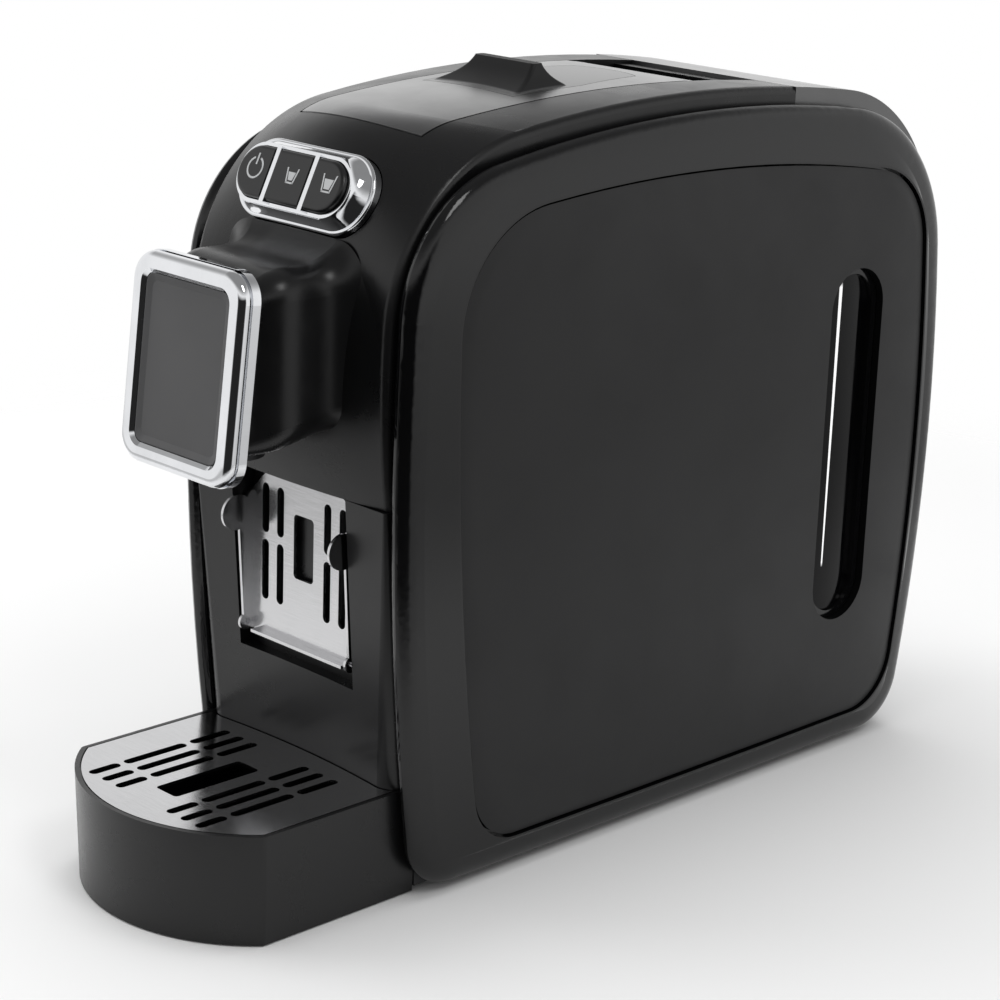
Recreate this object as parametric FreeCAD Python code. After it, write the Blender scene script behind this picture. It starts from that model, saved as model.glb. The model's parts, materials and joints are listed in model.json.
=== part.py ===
import FreeCAD, Part
import math
import os

# Pod coffee machine, millimetres. +Z up, front towards -Y, origin on the table under the middle.

V = FreeCAD.Vector

# Fits
FIT = 0.3             # gap between neighbouring mouldings
RUN_FIT = 0.08        # radial clearance of pins in their bores
SLIDE_FIT = 0.4       # clearance of sliding pieces
LOOSE = 0.6           # clearance where a linkage is opened
SIDE_GAP = 0.4        # groove between the centre body and the side frames
FAR = 400.0           # reach of cutting blocks past the machine

# Centre body and its side frames
BODY_HALF = 55.0
WALL = 2.6
SHOULDER_ROUND = 3.0
FRAME_PROUD = 10.0
FRAME_CREST = 4.1
FRAME_ROLL = 3.2
FRAME_ROUND = 10.0
FRAME_LAND = 0.7
FRAME_FLOOR = 3.0
FRAME_RIM = 6.0
FRAME_LIP = 0.8
PANEL_THICK = 3.2
PANEL_BEVEL_W = 6.0
PANEL_BEVEL_H = 1.1
SEAM_Z = 153.0
TANK_SEAM_Y = 98.0
BASE_Z = 3.0

# Side outline of the body, its crown on the middle plane, and the side panel inside it
FRONT_FOOT_Y = -92.5
FRONT_TOP_Y = -114.0
FRONT_BOW = 9.4
TOP_FRONT_Z = 272.0
TOP_REAR_Z = 275.3
TOP_BOW = 17.5
REAR_TOP_Y = 185.0
REAR_FOOT_Y = 183.0
REAR_BOW = 12.4
FLOOR_BOW = 0.5
TOE_ROUND = 22.0
BROW_ROUND = 75.0
REAR_ROUND = 70.0
HEEL_ROUND = 25.0
CROWN_LOW_Z = 130.0
CROWN_LOW_Y = -110.0
CROWN_FRONT_BOW = 5.5
CROWN_LOW_ROUND = 12.0
CROWN_MID_LOW_Y = -112.5
CROWN_MID_TOP_Y = -101.0
CROWN_TOP_Z = 285.0
CROWN_MID_BOW = 12.3
CROWN_MID_ROUND = 40.0
FRAME_FOOT_OUT = 10.0
FRAME_FRONT_IN = 3.0
FRAME_TOP_IN = 6.5
FRAME_REAR_IN = 1.0
FRAME_FRONT_BOW = 8.0
FRAME_BROW_ROUND = 55.0
PANEL_FOOT_IN = 20.0
PANEL_FRONT_IN = 25.0
PANEL_REAR_IN = 11.0
PANEL_LOW_IN = 12.0
PANEL_TOP_IN = 18.0
PANEL_HEEL_IN = 27.5
PANEL_FRONT_BOW = 6.0
PANEL_TOP_BOW = 12.0
PANEL_REAR_BOW = 8.5
PANEL_BROW_ROUND = 46.0
PANEL_REAR_ROUND = 37.0

# Level slot in the side panels
SLOT_Y = 134.5
SLOT_HALF_W = 16.5
SLOT_LOW_Z = 61.0
SLOT_HIGH_Z = 213.0
SLOT_LEDGE = 3.0
WINDOW_THICK = 2.0
WINDOW_BOW = 1.6

# Base
BASE_INSET = 0.6
BASE_FRONT_Y = -96.6
BASE_REAR_Y = 178.0
BASE_RIM_Z = 16.0
BASE_FLOOR = 3.0
BASE_CORNER = 14.0
FOOT_R = 9.0
FOOT_H = 2.6
FOOT_INSET = 15.0
FOOT_FRONT_Y = -80.0
FOOT_REAR_Y = 160.0
BOSS_R = 5.0
BOSS_INSET = 13.0
BOSS_FRONT_Y = -8.0
BOSS_REAR_Y = 88.0
SCREW_R = 1.5
SCREW_HEAD_R = 3.2
SCREW_HEAD_H = 2.0
GLAND_X = 30.0
GLAND_R = 4.6
GLAND_BORE_R = 3.3
GLAND_LEN = 9.0
RUNNER_INSET = 5.0
RUNNER_W = 4.0

# Drip tray and grid
TRAY_FRONT_Y = -196.4
TRAY_CORNER_Y = -169.8
TRAY_BACK_Y = -97.0
TRAY_TOP_Z = 43.4
TRAY_BOTTOM_Z = 0.6
TRAY_WALL = 2.4
TRAY_DRAFT = 1.2
TRAY_LIP = 1.8
TRAY_LEDGE = 1.6
GRID_THICK = 1.2
GRID_SKIRT = 2.4
GRID_FIT = 0.5
GRID_SLOT_W = 4.2
GRID_COLUMNS = (15.4, 23.7, 32.0)
GRID_ROWS = ((-182.6, -169.0), (-166.6, -137.8), (-135.2, -116.6))
GRID_WINDOW_HALF = 6.2
GRID_WINDOW_Y = (-171.9, -132.4)

# Drawer front (lower column) and capsule bin
COLUMN_FOOT_Y = -109.0
COLUMN_FOOT_BOW = 2.6
COLUMN_FOOT_ROUND = 9.0
COLUMN_TOP_Y = -115.8
COLUMN_TOP_BOW = 0.4
COLUMN_TOP_ROUND = 1.4
COLUMN_WALL = 3.0
RECESS_HALF = 33.0
RECESS_LOW_Z = 78.3
RECESS_FLOOR_Y = -104.0
RECESS_WALL = 2.5
BIN_INSET = 10.0
BIN_BACK_Y = -24.0
BIN_LOW_Z = 14.0
BIN_TOP_Z = 146.0
BIN_WALL = 2.0

# Cup shelf
SHELF_HALF = 31.4
SHELF_SHEET = 1.2
SHELF_FACE_Y = -106.9
SHELF_LOW_Z = 84.8
SHELF_HIGH_Z = 149.2
SHELF_CHAMFER = 9.0
SHELF_FLANGE_LOW_Y = -110.6
SHELF_FLANGE_HIGH_Y = -113.6
SHELF_FLANGE_TOP_Z = 140.0
SHELF_EAR_Z = 132.6
SHELF_EAR_R = 7.0
SHELF_EAR_OUT = 0.8
SHELF_AXIS_Y = -108.6
SHELF_AXIS_Z = 87.7
SHELF_PIN_R = 1.5
SHELF_TAB_R = 3.2
SHELF_COLUMNS = (13.6, 22.3)
SHELF_SLOT_W = 4.0
SHELF_ROWS = ((98.6, 122.6), (125.4, 145.0))
SHELF_WINDOW_HALF = 5.7
SHELF_WINDOW_Z = (111.4, 136.7)
WINDOW_ROUND = 1.8

# Head
HEAD_FACE_Y = -163.6
HEAD_FACE_Z = 202.7
HEAD_TILT = 83.9
BEZEL_W = 62.6
BEZEL_H = 77.0
BEZEL_ROUND = 10.5
BEZEL_FRONT = 2.2
BEZEL_RING = 3.9
BEZEL_GROOVE = 1.1
BEZEL_REAR = 3.6
BEZEL_STEP = 1.0
BEZEL_SWELL = 0.4
BEZEL_ROLL = 3.4
BEZEL_CHAMFER = 1.35
PLATE_W = 47.0
PLATE_H = 61.4
PLATE_ROUND = 4.0
PLATE_THICK = 2.0
PLATE_LEDGE = 3.5
PLATE_RIM = 0.8
PLATE_LAND = 0.4
PLATE_SLOPE = 2.25
HEAD_NECK_HALF = 30.6
HEAD_NECK_LOW_Z = 167.5
HEAD_NECK_HIGH_Z = 239.0
HEAD_FLOOR_RISE = 0.2
HEAD_ROUND = 10.0
HEAD_STATIONS = ((-170.0, 0.0), (-140.0, 0.0), (-127.0, 0.25), (-122.0, 1.1), (-118.0, 3.0), (-113.0, 8.0))
SPOUT_Y = -139.0
SPOUT_R = 10.0
SPOUT_LOW_Z = 167.0
SPOUT_FLANGE_R = 14.0
SPOUT_FLANGE = 3.0
DUCT_R = 6.0

# Button turret
TURRET_Y = -107.5
TURRET_Z = 261.7
TURRET_TILT = 64.3
TURRET_W = 71.8
TURRET_H = 30.4
TURRET_PLUG = 6.0
TURRET_RIM = 1.3
TURRET_TOP = 7.4
TURRET_TOP_W = 61.0
TURRET_TOP_H = 23.0
TURRET_RING = 1.3
BUTTON_TOP = 9.6
BUTTON_LOW = 2.0
BUTTON_TRAVEL = 1.4
BUTTON_DIVIDE = 10.6
BUTTON_GAP = 0.4
DIVIDER_W = 2.2
DIVIDER_TOP = 9.2
BOARD_THICK = 1.6
SWITCH_SIDE = 6.0
SWITCH_H = 4.0

# Lever lid
LID_HALF = 33.0
LID_FRONT_Y = -82.2
LID_BOW = 5.0
LID_WALL = 3.0
LID_GAP = 0.8
SILL_DROP = 1.6
SILL_ROOM = 2.2
SILL_LOW = 12.0
LEVER_Y = 58.0
LEVER_Z = 256.0
LEVER_R = 35.2
LEVER_PIN_R = 3.0
CHEEK_X = 26.0
CHEEK_W = 4.0
CHEEK_R = 31.0
RIB_DROP = 12.0
CRANK_R = 25.5
CRANK_PIN_R = 2.5
LEVER_SWING = 72.0
FIN_FRONT_Y = -29.0
FIN_REAR_Y = 7.0
FIN_HALF = 24.5
FIN_TOP_HALF = 16.4
FIN_TOP_Y = -8.0
FIN_TOP_W = 5.0
FIN_RISE = 15.8
FIN_FOOT = 5.5
TILE_REAR_Y = 50.0
TILE_REAR_HALF = 17.0
TILE_THICK = 1.5

# Brewing unit
BREW_Z = 222.0
BREW_PLATE_Y = -80.0
BREW_PLATE_T = 8.0
BREW_PLATE_LOW_Z = 198.0
BREW_PLATE_HIGH_Z = 242.0
BREW_INSET = 6.5
BEAM_W = 9.0
BEAM_LOW_Z = 208.0
BEAM_HIGH_Z = 234.0
BEAM_END_Y = 26.0
RELIEF_FRONT_Y = -70.0
RELIEF_REAR_Y = -26.0
RELIEF_EDGE = 6.0
BRIDGE_T = 8.0
BRIDGE_HALF_H = 9.0
ROD_R = 3.0
ROD_ROOM = 2.0
PISTON_WALL = 5.5
PISTON_LEN = 34.0
PISTON_DEPTH = 24.0
PISTON_GAP = 0.6
LUG_R = 6.5
LUG_LEN = 18.0
ARM_HALF = 5.0
ARM_EYE = 2.4
ARM_FOOT = 12.0
ARM_RISE = 38.0
ARM_REACH = 22.0
ARM_STEP = 14.0
ARM_KNEE = 6.0
SEAL_R = 1.6
SEAL_ROOM = 3.4
SEAL_BACK = 6.0
NEEDLE_R = 1.5
NEEDLE_LEN = 9.0
NEEDLE_X = 6.0

# Chassis
CHASSIS_T = 2.0
CHASSIS_FRONT_Y = -16.0
CHASSIS_REAR_Y = 97.0
CHASSIS_TOP_Z = 244.0
CHASSIS_EAR_R = 11.0
CHASSIS_SLEEVE_R = 7.0

# Water tank
TANK_INSET = 0.8
TANK_FRONT_Y = 101.0
TANK_LOW_Z = 16.8
TANK_TOP_Z = 250.0
TANK_WALL = 2.4
TANK_REST_X = 26.0
VALVE_Y = 128.0
VALVE_R = 8.0
VALVE_BORE_R = 4.0
SOCKET_R = 13.0
FILTER_H = 14.0
HINGE_Y = 187.0
HINGE_Z = 249.6
HINGE_PIN_R = 1.6
HINGE_R = 3.8
KNUCKLE_HALF = 9.4
EAR_W = 6.0
HINGE_ROOM = 1.2
TANK_LID_INSET = 0.2

# Hydraulics and electrics
PUMP_ROOM = 3.5
PUMP_Z = 46.0
PUMP_FRONT_Y = -6.0
PUMP_COIL_LEN = 48.0
PUMP_COIL_HALF = 21.0
PUMP_TUBE_R = 9.0
PUMP_LEN = 88.0
CRADLE_HALF = 15.0
BLOCK_X0 = 4.0
BLOCK_PORT_X = 24.0
BLOCK_PORT_Y = 18.0
BLOCK_Y0 = 2.0
BLOCK_Y1 = 76.0
BLOCK_Z0 = 66.0
BLOCK_Z1 = 158.0
BLOCK_RIB = 3.0
BLOCK_RIBS = 7
CUTOUT_R = 8.0
METER_ROOM = 9.5
METER_Y = 74.0
METER_R = 15.0
METER_H = 20.0
METER_PORT = 5.0
HOSE_R = 4.0
SUCTION_R = 2.8
HOSE_ROOM = 6.0
PCB_Y0 = 2.0
PCB_Y1 = 84.0
PCB_Z0 = 104.0
PCB_Z1 = 188.0
PCB_STAND = 4.0

# Sizes that follow from the ones above
FLOOR_Z = FOOT_H + BASE_FLOOR
FRAME_IN_X = BODY_HALF + SIDE_GAP
FRAME_OUT_X = BODY_HALF + FRAME_PROUD
BASE_HALF = BODY_HALF - BASE_INSET
FOOT_X = BODY_HALF - FOOT_INSET
BOSS_X = BODY_HALF - BOSS_INSET
TRAY_HALF = BODY_HALF
BIN_HALF = BODY_HALF - BIN_INSET
RUNNER_X = BIN_HALF - RUNNER_INSET
TANK_HALF = BODY_HALF - TANK_INSET
BREW_HALF = BODY_HALF - BREW_INSET
ROD_X = BREW_HALF - BEAM_W - LUG_R - ROD_ROOM
PISTON_R = ROD_X - ROD_R - SEAL_R - SEAL_ROOM
PISTON_BORE_R = PISTON_R - PISTON_WALL
PUMP_X = PUMP_COIL_HALF + PUMP_ROOM - BREW_HALF
METER_X = BREW_HALF - METER_R - METER_ROOM
FIN_TOP_Z = CROWN_TOP_Z + FIN_RISE


class Cushion:
    """Closed side outline in (y, z): four bowed sides joined by tangent corner arcs."""

    def __init__(self, corners, bows, radii):
        self.corners = corners
        self.bows = bows
        self.radii = radii

    def grown(self, d):
        signs = ((-1, -1), (-1, 1), (1, 1), (1, -1))
        corners = [(c[0] + s[0] * d, c[1] + s[1] * d) for c, s in zip(self.corners, signs)]
        return Cushion(corners, self.bows, [r + d for r in self.radii])

    def side_circle(self, i):
        p = self.corners[i]
        q = self.corners[(i + 1) % 4]
        length = math.hypot(q[0] - p[0], q[1] - p[1])
        out = (-(q[1] - p[1]) / length, (q[0] - p[0]) / length)
        bow = self.bows[i]
        radius = (length * length / 4 + bow * bow) / (2 * bow)
        mid = ((p[0] + q[0]) / 2, (p[1] + q[1]) / 2)
        return (mid[0] + out[0] * (bow - radius), mid[1] + out[1] * (bow - radius)), radius

    def corner_circle(self, i):
        (c1, r1), (c2, r2) = self.side_circle((i + 3) % 4), self.side_circle(i)
        r = self.radii[i]
        a, b = r1 - r, r2 - r
        dx, dz = c2[0] - c1[0], c2[1] - c1[1]
        d = math.hypot(dx, dz)
        along = (a * a - b * b + d * d) / (2 * d)
        off = math.sqrt(a * a - along * along)
        base = (c1[0] + dx * along / d, c1[1] + dz * along / d)
        options = [(base[0] - dz * off / d * s, base[1] + dx * off / d * s) for s in (1, -1)]
        corner = self.corners[i]
        centre = min(options, key=lambda o: math.hypot(o[0] - corner[0], o[1] - corner[1]))
        first = (c1[0] + (centre[0] - c1[0]) * r1 / a, c1[1] + (centre[1] - c1[1]) * r1 / a)
        last = (c2[0] + (centre[0] - c2[0]) * r2 / b, c2[1] + (centre[1] - c2[1]) * r2 / b)
        return centre, r, first, last

    def wire(self, x):
        def arc(centre, radius, a, b):
            m = ((a[0] + b[0]) / 2 - centre[0], (a[1] + b[1]) / 2 - centre[1])
            k = radius / math.hypot(m[0], m[1])
            mid = V(x, centre[0] + m[0] * k, centre[1] + m[1] * k)
            return Part.Arc(V(x, a[0], a[1]), mid, V(x, b[0], b[1])).toShape()
        rounds = [self.corner_circle(i) for i in range(4)]
        edges = []
        for i in range(4):
            centre, radius, first, last = rounds[i]
            edges.append(arc(centre, radius, first, last))
            side_centre, side_radius = self.side_circle(i)
            edges.append(arc(side_centre, side_radius, last, rounds[(i + 1) % 4][2]))
        return Part.Wire(edges)


SIDE = Cushion([(FRONT_FOOT_Y, BASE_Z), (FRONT_TOP_Y, TOP_FRONT_Z), (REAR_TOP_Y, TOP_REAR_Z), (REAR_FOOT_Y, BASE_Z)],
               [FRONT_BOW, TOP_BOW, REAR_BOW, FLOOR_BOW], [TOE_ROUND, BROW_ROUND, REAR_ROUND, HEEL_ROUND])
CROWN_EDGE = Cushion([(CROWN_LOW_Y, CROWN_LOW_Z)] + SIDE.corners[1:],
                     [CROWN_FRONT_BOW] + SIDE.bows[1:], [CROWN_LOW_ROUND] + SIDE.radii[1:])
CROWN_MID = Cushion([(CROWN_MID_LOW_Y, CROWN_LOW_Z), (CROWN_MID_TOP_Y, CROWN_TOP_Z)] + SIDE.corners[2:],
                    [CROWN_MID_BOW, CROWN_MID_BOW] + SIDE.bows[2:],
                    [CROWN_LOW_ROUND, CROWN_MID_ROUND] + SIDE.radii[2:])
FRAME = Cushion([(FRONT_FOOT_Y - FRAME_FOOT_OUT, BASE_Z), (FRONT_TOP_Y + FRAME_FRONT_IN, TOP_FRONT_Z - FRAME_TOP_IN),
                 (REAR_TOP_Y - FRAME_REAR_IN, TOP_REAR_Z - FRAME_TOP_IN), (REAR_FOOT_Y - FRAME_REAR_IN, BASE_Z)],
                [FRAME_FRONT_BOW, TOP_BOW, REAR_BOW, FLOOR_BOW], [TOE_ROUND, FRAME_BROW_ROUND, REAR_ROUND, HEEL_ROUND])
PANEL = Cushion([(FRONT_FOOT_Y + PANEL_FOOT_IN, BASE_Z + PANEL_LOW_IN),
                 (FRONT_TOP_Y + PANEL_FRONT_IN, TOP_FRONT_Z - PANEL_TOP_IN),
                 (REAR_TOP_Y - PANEL_REAR_IN, TOP_REAR_Z - PANEL_HEEL_IN),
                 (REAR_FOOT_Y - PANEL_REAR_IN, BASE_Z + PANEL_LOW_IN)],
                [PANEL_FRONT_BOW, PANEL_TOP_BOW, PANEL_REAR_BOW, FLOOR_BOW],
                [TOE_ROUND, PANEL_BROW_ROUND, PANEL_REAR_ROUND, HEEL_ROUND])


def box(x0, x1, y0, y1, z0, z1):
    return Part.makeBox(x1 - x0, y1 - y0, z1 - z0, V(x0, y0, z0))


def cyl_x(r, x0, x1, y, z):
    return Part.makeCylinder(r, x1 - x0, V(x0, y, z), V(1, 0, 0))


def cyl_y(r, y0, y1, x, z):
    return Part.makeCylinder(r, y1 - y0, V(x, y0, z), V(0, 1, 0))


def cyl_z(r, z0, z1, x, y):
    return Part.makeCylinder(r, z1 - z0, V(x, y, z0), V(0, 0, 1))


def both_sides(shape):
    """The piece and its mirror image across the middle plane."""
    return [shape, shape.mirror(V(0, 0, 0), V(1, 0, 0))]


def loft(wires, ruled=False):
    return Part.makeLoft(wires, True, ruled)


def polygon(points):
    return Part.Face(Part.makePolygon(list(points) + [points[0]]))


def prism_x(points, x0, x1):
    """Prism along X of an outline given in (y, z)."""
    return polygon([V(x0, y, z) for y, z in points]).extrude(V(x1 - x0, 0, 0))


def rounded_rect(w, h, r, z, cx=0.0, cy=0.0):
    """Rounded rectangle in a plane z = constant."""
    a, b = w / 2 - r, h / 2 - r
    k = r * math.sqrt(0.5)
    edges = []
    for sx, sy, px, py in ((1, 1, a, b), (-1, 1, -a, b), (-1, -1, -a, -b), (1, -1, a, -b)):
        ends = [V(cx + px + sx * r, cy + py, z), V(cx + px, cy + py + sy * r, z)]
        mid = V(cx + px + sx * k, cy + py + sy * k, z)
        first, last = (ends[0], ends[1]) if sx * sy > 0 else (ends[1], ends[0])
        edges.append(Part.Arc(first, mid, last).toShape())
    closed = []
    for i in range(4):
        closed.append(edges[i])
        start = edges[i].Vertexes[-1].Point
        end = edges[(i + 1) % 4].Vertexes[0].Point
        if start.distanceToPoint(end) > 1e-6:
            closed.append(Part.LineSegment(start, end).toShape())
    return Part.Wire(closed)


def slab(w, h, r, z0, z1, cx=0.0, cy=0.0):
    return Part.Face(rounded_rect(w, h, r, z0, cx, cy)).extrude(V(0, 0, z1 - z0))


def pill(w, h, z0, z1, cx=0.0, cy=0.0):
    """Slab with half-round short ends, along the longer of its two sides."""
    r = min(w, h) / 2 - 0.005
    return slab(w, h, r, z0, z1, cx, cy)


def placed(shape, y, z, tilt):
    """Move a piece drawn face up to a leaning face whose normal is raised from the front."""
    out = shape.copy()
    out.Placement = FreeCAD.Placement(V(0, y, z), FreeCAD.Rotation(V(1, 0, 0), tilt))
    return out


def on_turret(shape):
    return placed(shape, TURRET_Y, TURRET_Z, TURRET_TILT)


def on_head(shape):
    return placed(shape, HEAD_FACE_Y, HEAD_FACE_Z, HEAD_TILT)


def tube(points, r, bend):
    """Round rod along straight runs joined by tangent arcs."""
    pts = [V(*p) for p in points]
    edges = []
    start = pts[0]
    for i in range(1, len(pts) - 1):
        a = (pts[i - 1] - pts[i]).normalize()
        b = (pts[i + 1] - pts[i]).normalize()
        half = math.acos(max(-1.0, min(1.0, a.dot(b)))) / 2
        reach = bend / math.tan(half)
        t1, t2 = pts[i] + a * reach, pts[i] + b * reach
        inward = (a + b).normalize()
        mid = pts[i] + inward * (bend / math.sin(half) - bend)
        edges.append(Part.LineSegment(start, t1).toShape())
        edges.append(Part.Arc(t1, mid, t2).toShape())
        start = t2
    edges.append(Part.LineSegment(start, pts[-1]).toShape())
    ring = Part.Wire([Part.makeCircle(r, pts[0], pts[1] - pts[0])])
    return Part.Wire(edges).makePipeShell([ring], True, False)


def centre_form(shrink=0.0, over=0.0):
    """Crowned centre body: the side outline swells towards the middle plane."""
    x = BODY_HALF + over
    edge, mid = CROWN_EDGE.grown(-shrink), CROWN_MID.grown(-shrink)
    return loft([edge.wire(-x), mid.wire(0), edge.wire(x)])


def side_form(half, shrink=0.0):
    return Part.Face(SIDE.grown(-shrink).wire(-half)).extrude(V(2 * half, 0, 0))


def rounded_centre_form():
    form = centre_form()
    rim = [e for e in form.Edges if abs(abs(e.BoundBox.XMin) - BODY_HALF) < 1e-4
           and e.BoundBox.XLength < 1e-3]
    return form.makeFillet(SHOULDER_ROUND, rim)


def head_form(shrink):
    """Head neck: its floor rises and its sides and top flare in a hollow curve into the casing."""
    wires = []
    for y, flare in HEAD_STATIONS:
        low = HEAD_NECK_LOW_Z + HEAD_FLOOR_RISE * (y - HEAD_STATIONS[0][0]) - flare * 0.25 + shrink
        high = HEAD_NECK_HIGH_Z + flare - shrink
        w = 2 * (HEAD_NECK_HALF + flare - shrink)
        flat = rounded_rect(w, high - low, HEAD_ROUND + flare * 0.6 - shrink, 0.0, 0.0, (low + high) / 2)
        flat.Placement = FreeCAD.Placement(V(0, y, 0), FreeCAD.Rotation(V(1, 0, 0), 90))
        wires.append(flat)
    return loft(wires)


def lid_plan(grow, rear_y, z):
    """Plan of the lever lid: straight sides and a bowed front edge."""
    half, front = LID_HALF + grow, LID_FRONT_Y - grow
    p = [V(-half, front, z), V(0, front - LID_BOW, z), V(half, front, z), V(half, rear_y, z), V(-half, rear_y, z)]
    edges = [Part.Arc(p[0], p[1], p[2]).toShape()]
    edges += [Part.LineSegment(p[i], p[(i + 1) % 5]).toShape() for i in (2, 3, 4)]
    return Part.Face(Part.Wire(edges))


def lid_sill():
    """Sill behind the lid's tail: its front wall leans back just clear of the lid at full swing."""
    lean = math.radians(90 - LEVER_SWING)
    half = LID_HALF + LID_GAP + WALL

    def face_y(z):
        return LEVER_Y + (LEVER_R + SILL_ROOM - math.sin(lean) * (z - LEVER_Z)) / math.cos(lean)

    low, high, rear = LEVER_Z + SILL_LOW, FIN_TOP_Z, TANK_SEAM_Y - FIT
    solid = centre_form(SILL_DROP).common(prism_x(
        [(face_y(low), low), (face_y(high), high), (rear, high), (rear, low)], -half, half))
    room = centre_form(SILL_DROP + WALL, 1.0).common(prism_x(
        [(face_y(low) + WALL, low - 1), (face_y(high) + WALL, high), (rear + 1, high), (rear + 1, low - 1)], -FAR, FAR))
    return solid.cut(room)


def upper_shell():
    outer = rounded_centre_form()
    inner = centre_form(WALL, 1.0)
    middle = box(WALL - BODY_HALF, BODY_HALF - WALL, -FAR, FAR, -FAR, FAR)
    flanges = outer.cut([middle, frame_core(-FAR, FAR)])
    skin = outer.cut(inner).fuse(flanges)
    low = box(-FAR, FAR, -FAR, FAR, -FAR, SEAM_Z + FIT)
    rear = box(-FAR, FAR, TANK_SEAM_Y - FIT, FAR, -FAR, FAR)
    band = skin.cut([low, rear])
    face = on_head(box(-FAR, FAR, -FAR, FAR, BEZEL_FRONT - BEZEL_RING - BEZEL_GROOVE - BEZEL_REAR, FAR))
    neck = head_form(0.0).cut([inner, face])
    shell = band.multiFuse([neck])
    hollow = head_form(WALL)
    lid_hole = lid_plan(LID_GAP, TANK_SEAM_Y + 5, LEVER_Z - 20).extrude(V(0, 0, FAR))
    turret_hole = on_turret(pill(TURRET_W + 2 * FIT, TURRET_H + 2 * FIT, -TURRET_W / 3, TURRET_H))
    spout_hole = cyl_z(SPOUT_R + FIT, SEAM_Z, BREW_PLATE_LOW_Z, 0, SPOUT_Y)
    return shell.cut([hollow, lid_hole, turret_hole, spout_hole]).multiFuse([lid_sill()]).removeSplitter()


def frame_core(x0, x1):
    """Block inside the rim of a side frame, also the opening between the shell's side flanges."""
    return Part.Face(FRAME.grown(-FRAME_ROLL - FRAME_RIM).wire(x0)).extrude(V(x1 - x0, 0, 0))


def side_frame():
    """Right gloss frame: rolls from the body over a crest, turns a broad edge and runs flat to the side panel."""
    crest_x = FRAME_IN_X + FRAME_CREST
    land_x = FRAME_OUT_X - FRAME_LAND
    inner, outer = [], []
    for deg in (0, 30, 60, 90):
        turn = math.radians(deg)
        inner.append(FRAME.grown(FRAME_ROLL * (math.sin(turn) - 1)).wire(crest_x - FRAME_CREST * math.cos(turn)))
        outer.append(FRAME.grown(FRAME_ROUND * (math.cos(turn) - 1)).wire(crest_x + (land_x - crest_x) * math.sin(turn)))
    land = loft([outer[-1], PANEL.grown(FIT + FRAME_LIP).wire(FRAME_OUT_X)], True)
    body = loft(inner).multiFuse([loft(outer), land])
    floor_in = FRAME_OUT_X - PANEL_THICK - FIT - FRAME_FLOOR
    pocket = Part.Face(PANEL.grown(FIT).wire(floor_in + FRAME_FLOOR)).extrude(V(FAR, 0, 0))
    slot = level_slot(floor_in - 1, FRAME_OUT_X + 1, -SLOT_LEDGE)
    return body.cut([pocket, frame_core(FRAME_IN_X - 1, floor_in), slot])


def level_slot(x0, x1, grow):
    w = 2 * (SLOT_HALF_W + grow)
    h = SLOT_HIGH_Z - SLOT_LOW_Z + 2 * grow
    flat = pill(w, h, x0, x1, 0.0, 0.0)
    flat.Placement = FreeCAD.Placement(
        V(0, SLOT_Y, (SLOT_HIGH_Z + SLOT_LOW_Z) / 2),
        FreeCAD.Rotation(V(0, 1, 0), V(0, 0, 1), V(1, 0, 0), "ZXY"))
    return flat


def side_panel():
    low = FRAME_OUT_X - PANEL_THICK
    mid = FRAME_OUT_X - PANEL_BEVEL_H
    base = Part.Face(PANEL.wire(low)).extrude(V(mid - low, 0, 0))
    top = loft([PANEL.wire(mid), PANEL.grown(-PANEL_BEVEL_W).wire(FRAME_OUT_X)], True)
    return base.multiFuse([top]).cut(level_slot(low - 1, FRAME_OUT_X + 1, 0.0)).removeSplitter()


def level_window():
    """Smoked window behind the slot, bowed outwards along its length."""
    floor_in = FRAME_OUT_X - PANEL_THICK - FIT - FRAME_FLOOR
    x0 = floor_in - WINDOW_THICK
    plate = level_slot(x0, floor_in, SLOT_LEDGE)
    radius = (SLOT_HALF_W ** 2 + WINDOW_BOW ** 2) / (2 * WINDOW_BOW)
    bow = cyl_z(radius, SLOT_LOW_Z, SLOT_HIGH_Z, floor_in + WINDOW_BOW - radius, SLOT_Y)
    lens = level_slot(floor_in - 0.5, floor_in + 4, -SLOT_LEDGE - FIT).common(bow)
    return plate.multiFuse([lens]).removeSplitter()


def plan_outline(half, front_y, rear_y, r, z):
    mid_y = (front_y + rear_y) / 2
    return rounded_rect(2 * half, rear_y - front_y, r, z, 0.0, mid_y)


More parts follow.
